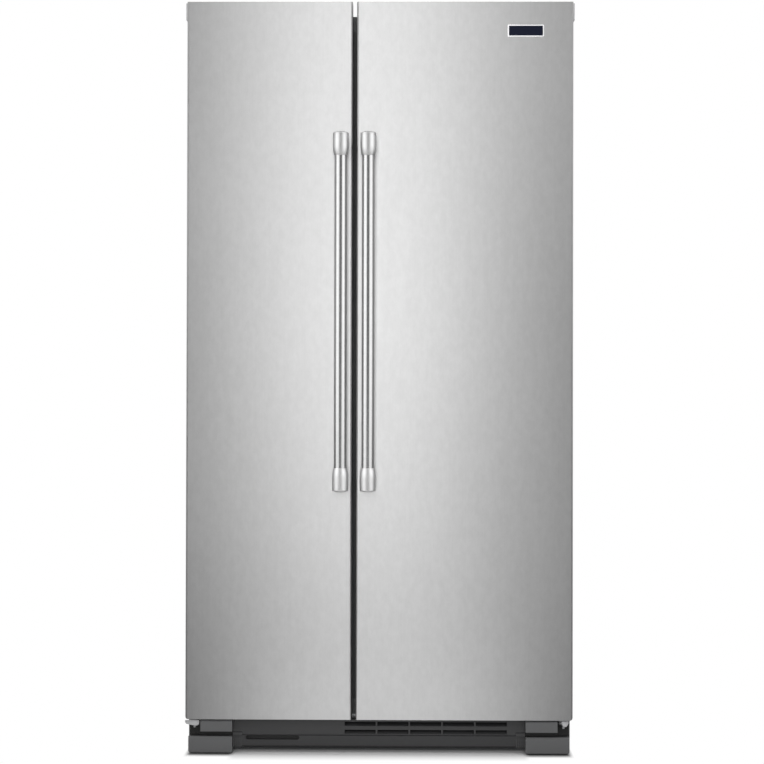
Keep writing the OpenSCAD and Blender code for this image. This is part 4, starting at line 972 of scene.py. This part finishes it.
@dataclass
class Floor:
    """A wide pale floor, white to the camera, with a soft shadow at the object's foot: the real
    shadow on the card, and painted shadow in the card's colour and in where it turns white.

    Lengths are in metres. A pair gives the two places between which a blend runs: from the
    middle outwards for foot, and ahead of the doors' face for the pairs after it.

    Attributes:
        span: Half size of the floor.
        drop: Depth below the feet.
        half: Half width of the shadow's core.
        fade: Width of the shadow's soft front edge, painted as a blend to white.
        side_fade: Width of its soft side edge.
        side_pull: How many times a step past the core's side counts against one ahead.
        face_back: Depth from the object's front back to the doors' face.
        back_fade: Distance behind the object at which the painted shadow has gone.
        strip: Strength of the strip in front that glows for reflections only, a painted reflection
            in the doors.
        strip_half: Half width of that strip.
        strip_start: Distance ahead over which the strip sets in.
        mirrored: Strength of the dim glow of the rest of the floor, seen only in metal.
        card: Linear grays between which the card varies.
        card_cells: Cells per metre of that variation.
        card_rough: Its roughness.
        foot: Where the feet's darker painted shadow sets in.
        foot_weight: Share of the card's light that it takes.
        foot_curve: Power that keeps it dark close to the feet.
        foot_dark: Blend from the painted shadow before the feet to plain card.
        foot_clear: Blend from plain card to white in front of the feet.
        painted_under_shade: Blend from the painted shade under the cabinet to plain card.
        deep_weight: Share of the card's light that this painted shade takes.
        rear_share: Share of the way back over which the feet's painted shadow ends.
        under: Blend to painted light on the floor seen below the grille.
        under_end: Blend back from it.
        under_lift: Brightness of that painted light.
    """

    span: float = 30.0
    drop: float = 0.0005
    half: float = 0.44
    fade: float = 0.09
    side_fade: float = 0.012
    side_pull: float = 9.0
    face_back: float = 0.067
    back_fade: float = 0.20
    strip: float = 1.11
    strip_half: float = 0.36
    strip_start: float = 0.3
    mirrored: float = 0.12
    card: tuple[float, float] = (0.80, 0.84)
    card_cells: float = 0.8
    card_rough: float = 0.7
    foot: tuple[float, float] = (0.335, 0.350)
    foot_weight: float = 0.95
    foot_curve: float = 3.0
    foot_dark: tuple[float, float] = (-0.035, 0.022)
    foot_clear: tuple[float, float] = (0.018, 0.042)
    painted_under_shade: tuple[float, float] = (-0.125, -0.090)
    deep_weight: float = 0.85
    rear_share: float = 0.2
    under: tuple[float, float] = (-0.080, -0.055)
    under_end: tuple[float, float] = (-0.060, -0.020)
    under_lift: float = 0.11

    def build(self) -> None:
        """Adds the floor."""
        build = bmesh.new()
        bmesh.ops.create_grid(build, x_segments=8, y_segments=8, size=self.span)
        mesh = bpy.data.meshes.new("studio_floor")
        build.to_mesh(mesh)
        build.free()
        floor = bpy.data.objects.new("studio_floor", mesh)
        floor.location.z = -self.drop
        bpy.context.scene.collection.objects.link(floor)
        mesh.materials.append(self._material())

    def _shadow(self, wide: Wire, ahead: Wire, back: Wire) -> tuple[Wire, Wire]:
        """Works out the painted shadow: where the card's colour darkens near the feet and under
        the cabinet, and where the card turns white.

        Args:
            wide: Distance from the middle.
            ahead: Distance ahead of the doors' face.
            back: Distance behind the object's middle.

        Returns:
            The painted shade factor on the card's colour, and the share of plain white.
        """
        rear = back.spread(0.0, CAD_BOX[1].y + self.back_fade)
        # Painted shadow: the card's colour darkens before the feet and under the cabinet.
        foot = wide.spread(*self.foot) * (1.0 - rear.spread(0.0, self.rear_share))
        near = ahead.spread(*self.foot_dark) ** self.foot_curve
        painted_under_shade = 1.0 - ahead.spread(*self.painted_under_shade)
        painted_floor_shade = (1.0 - foot * (1.0 - near) * self.foot_weight) * (
            1.0 - painted_under_shade * (1.0 - rear) * self.deep_weight
        )
        # Painted shadow edge: the card turns white with distance past the feet, sides and back.
        across = (wide - self.half) * self.side_pull
        away = across.maths("MAXIMUM", 0.0) + ahead.maths("MAXIMUM", 0.0)
        # Painted light: the floor seen below the grille is lifted towards white.
        under = ahead.spread(*self.under) * (1.0 - ahead.spread(*self.under_end))
        lifted = away.spread(0.0, self.fade).maths("MAXIMUM", under * self.under_lift)
        clear = lifted * (1.0 - foot) + ahead.spread(*self.foot_clear) * foot
        beside = (wide - self.half).spread(0.0, self.side_fade)
        return painted_floor_shade, clear.maths("MAXIMUM", beside).maths("MAXIMUM", rear * rear)

    def _mirrored(self, graph: Graph, wide: Wire, ahead: Wire) -> Wire:
        """The floor as metal mirrors it: a dim glow, with a brighter glowing strip ahead, painted
        light seen only in reflections.

        Args:
            graph: The floor's nodes.
            wide: Distance from the middle.
            ahead: Distance ahead of the doors' face.

        Returns:
            The shader.
        """
        # Painted reflection: for reflected rays the floor glows, brightest in a strip ahead.
        dim, glowing_strip = (
            graph.add("ShaderNodeEmission", {}, {"Color": WHITE, "Strength": level})
            for level in (self.mirrored, self.strip)
        )
        band = 1.0 - wide.spread(self.strip_half * 0.5, self.strip_half * 1.5)
        inside = band * ahead.spread(0.0, self.strip_start)
        return graph.add("ShaderNodeMixShader", {}, {0: inside, 1: dim, 2: glowing_strip})

    def _material(self) -> bpy.types.Material:
        """Pale card with painted shadow and a painted shadow edge, white beyond it, and mirrored
        as a dim glow with a brighter glowing strip.
        """
        material = bpy.data.materials.new("floor_white")
        graph = Graph(material)
        path = graph.add("ShaderNodeLightPath")
        spot = graph.add("ShaderNodeSeparateXYZ", {}, {0: graph.place()})
        wide = spot.maths("ABSOLUTE")
        back = spot.out("Y")
        ahead = CAD_BOX[0].y + self.face_back - back
        painted_floor_shade, white = self._shadow(wide, ahead, back)
        dark_card, pale_card = ((gray,) * 3 for gray in self.card)
        uneven = graph.noise((self.card_cells,) * 3, detail=2.0)
        card = graph.mix(uneven, dark_card, pale_card)
        # The card's colour carries the painted shadow; the lamps cast the real one on it.
        matt = graph.add(
            "ShaderNodeBsdfPrincipled",
            {},
            {
                "Base Color": graph.mix(painted_floor_shade, (0.0, 0.0, 0.0), card),
                "Roughness": self.card_rough,
            },
        )
        glow = graph.add("ShaderNodeEmission", {}, {"Color": WHITE, "Strength": 1.0})
        mirrored = self._mirrored(graph, wide, ahead)
        body = graph.add(
            "ShaderNodeMixShader", {}, {0: path.out("Is Glossy Ray"), 1: matt, 2: mirrored}
        )
        mixed = graph.add(
            "ShaderNodeMixShader", {}, {0: path.out("Is Camera Ray") * white, 1: body, 2: glow}
        )
        graph.add("ShaderNodeOutputMaterial", {}, {"Surface": mixed})
        return material


@dataclass
class Studio:
    """Floor, world, lamps and camera.

    Attributes:
        camera_at: The camera's place in metres.
        yaw: Its turn to the left in radians.
        pitch: Its tilt upwards in radians.
        roll: Its lean to the left in radians.
        lens: Focal length in millimetres on a sensor 36 mm wide.
        side_level: Brightness of the walls beside and behind.
        front_level: Brightness straight ahead of the doors.
        front_cone: Cosines of the angle to straight ahead between which they dim.
        floor: The floor.
        lamps: The lamps.
    """

    camera_at: Point = (0.0784, -5.5, 0.8141)
    yaw: float = 0.0141
    pitch: float = 0.0099
    roll: float = 0.0022
    lens: float = 104.13
    side_level: float = 0.82
    front_level: float = 0.03
    front_cone: tuple[float, float] = (0.72, 0.94)
    floor: Floor = field(default_factory=Floor)
    lamps: list[Lamp] = field(
        default_factory=lambda: [
            Lamp("key_1", (-0.1, -3.0, 0.50), (-0.1, 0, 0.50), (0.5, 0.7), 2.79, Reach.SATIN),
            Lamp("key_2", (-0.1, -3.0, 1.20), (-0.1, 0, 1.20), (0.6, 0.7), 3.81, Reach.SATIN),
            Lamp("key_3", (-0.1, -3.0, 1.90), (-0.1, 0, 1.90), (0.7, 0.7), 3.74, Reach.SATIN),
            Lamp("key_4", (-0.1, -3.0, 2.60), (-0.1, 0, 2.60), (0.7, 0.7), 4.05, Reach.SATIN),
            Lamp("side_high", (1.1, -3.0, 2.20), (1.0, 0, 2.20), (0.6, 1.4), 1.2, Reach.SATIN),
            Lamp("fill", (0.0, -4.5, 1.9), (0, 0, 0.9), (6.0, 5.0), 90.0, Reach.MATT),
            Lamp("bar_left", (-2.9, -2.8, 1.2), (0, -0.4, 1.0), (4.4, 3.2), 47.0, Reach.ROUND),
            Lamp("bar_right", (2.9, -2.8, 1.2), (0, -0.4, 1.0), (4.4, 3.2), 43.0, Reach.ROUND),
            Lamp("bar_front", (0.0, -5.0, 1.3), (0, -0.4, 1.1), (2.0, 2.0), 3.6, Reach.ROUND),
        ]
    )

    def build(self) -> None:
        """Adds everything round the object."""
        self._world()
        self.floor.build()
        for lamp in self.lamps:
            lamp.build()
        self._camera()
        bpy.context.scene.view_settings.view_transform = "Standard"
        LOG.info("built studio")

    def _world(self) -> None:
        """White to the camera; pale walls all round, dim only straight ahead of the doors."""
        world = bpy.data.worlds.new("studio")
        bpy.context.scene.world = world
        graph = Graph(world)
        path = graph.add("ShaderNodeLightPath")
        toward = graph.add("ShaderNodeTexCoord").out("Generated")
        depth = graph.add("ShaderNodeSeparateXYZ", {}, {0: toward}).out("Y")
        ahead = (0.0 - depth).spread(*self.front_cone)
        shown, walls, front = (
            graph.add("ShaderNodeBackground", {}, {"Color": WHITE, "Strength": level})
            for level in (1.0, self.side_level, self.front_level)
        )
        light = graph.add("ShaderNodeMixShader", {}, {0: ahead, 1: walls, 2: front})
        mixed = graph.add(
            "ShaderNodeMixShader", {}, {0: path.out("Is Camera Ray"), 1: light, 2: shown}
        )
        graph.add("ShaderNodeOutputWorld", {}, {"Surface": mixed})

    def _camera(self) -> None:
        """A nearly level camera about five metres in front of the doors."""
        data = bpy.data.cameras.new("camera")
        data.lens = self.lens
        data.sensor_width = 36.0
        data.clip_end = 200.0
        camera = bpy.data.objects.new("camera", data)
        turn = (
            Matrix.Rotation(self.yaw, 4, "Z")
            @ Matrix.Rotation(self.pitch, 4, "X")
            @ Matrix.Rotation(-self.roll, 4, "Y")
            @ Matrix.Rotation(math.pi / 2, 4, "X")
        )
        camera.matrix_world = Matrix.Translation(self.camera_at) @ turn
        bpy.context.scene.collection.objects.link(camera)
        bpy.context.scene.camera = camera


def main() -> None:
    """Builds the scene piece by piece."""
    logging.basicConfig(level=logging.INFO, format="%(name)s: %(message)s")
    Studio().build()
    for assembly in (Doors(), Handles(), Badge(), Cabinet(), Interior(), Base(), Machinery()):
        assembly.dress()


if __name__ == "__main__":
    main()
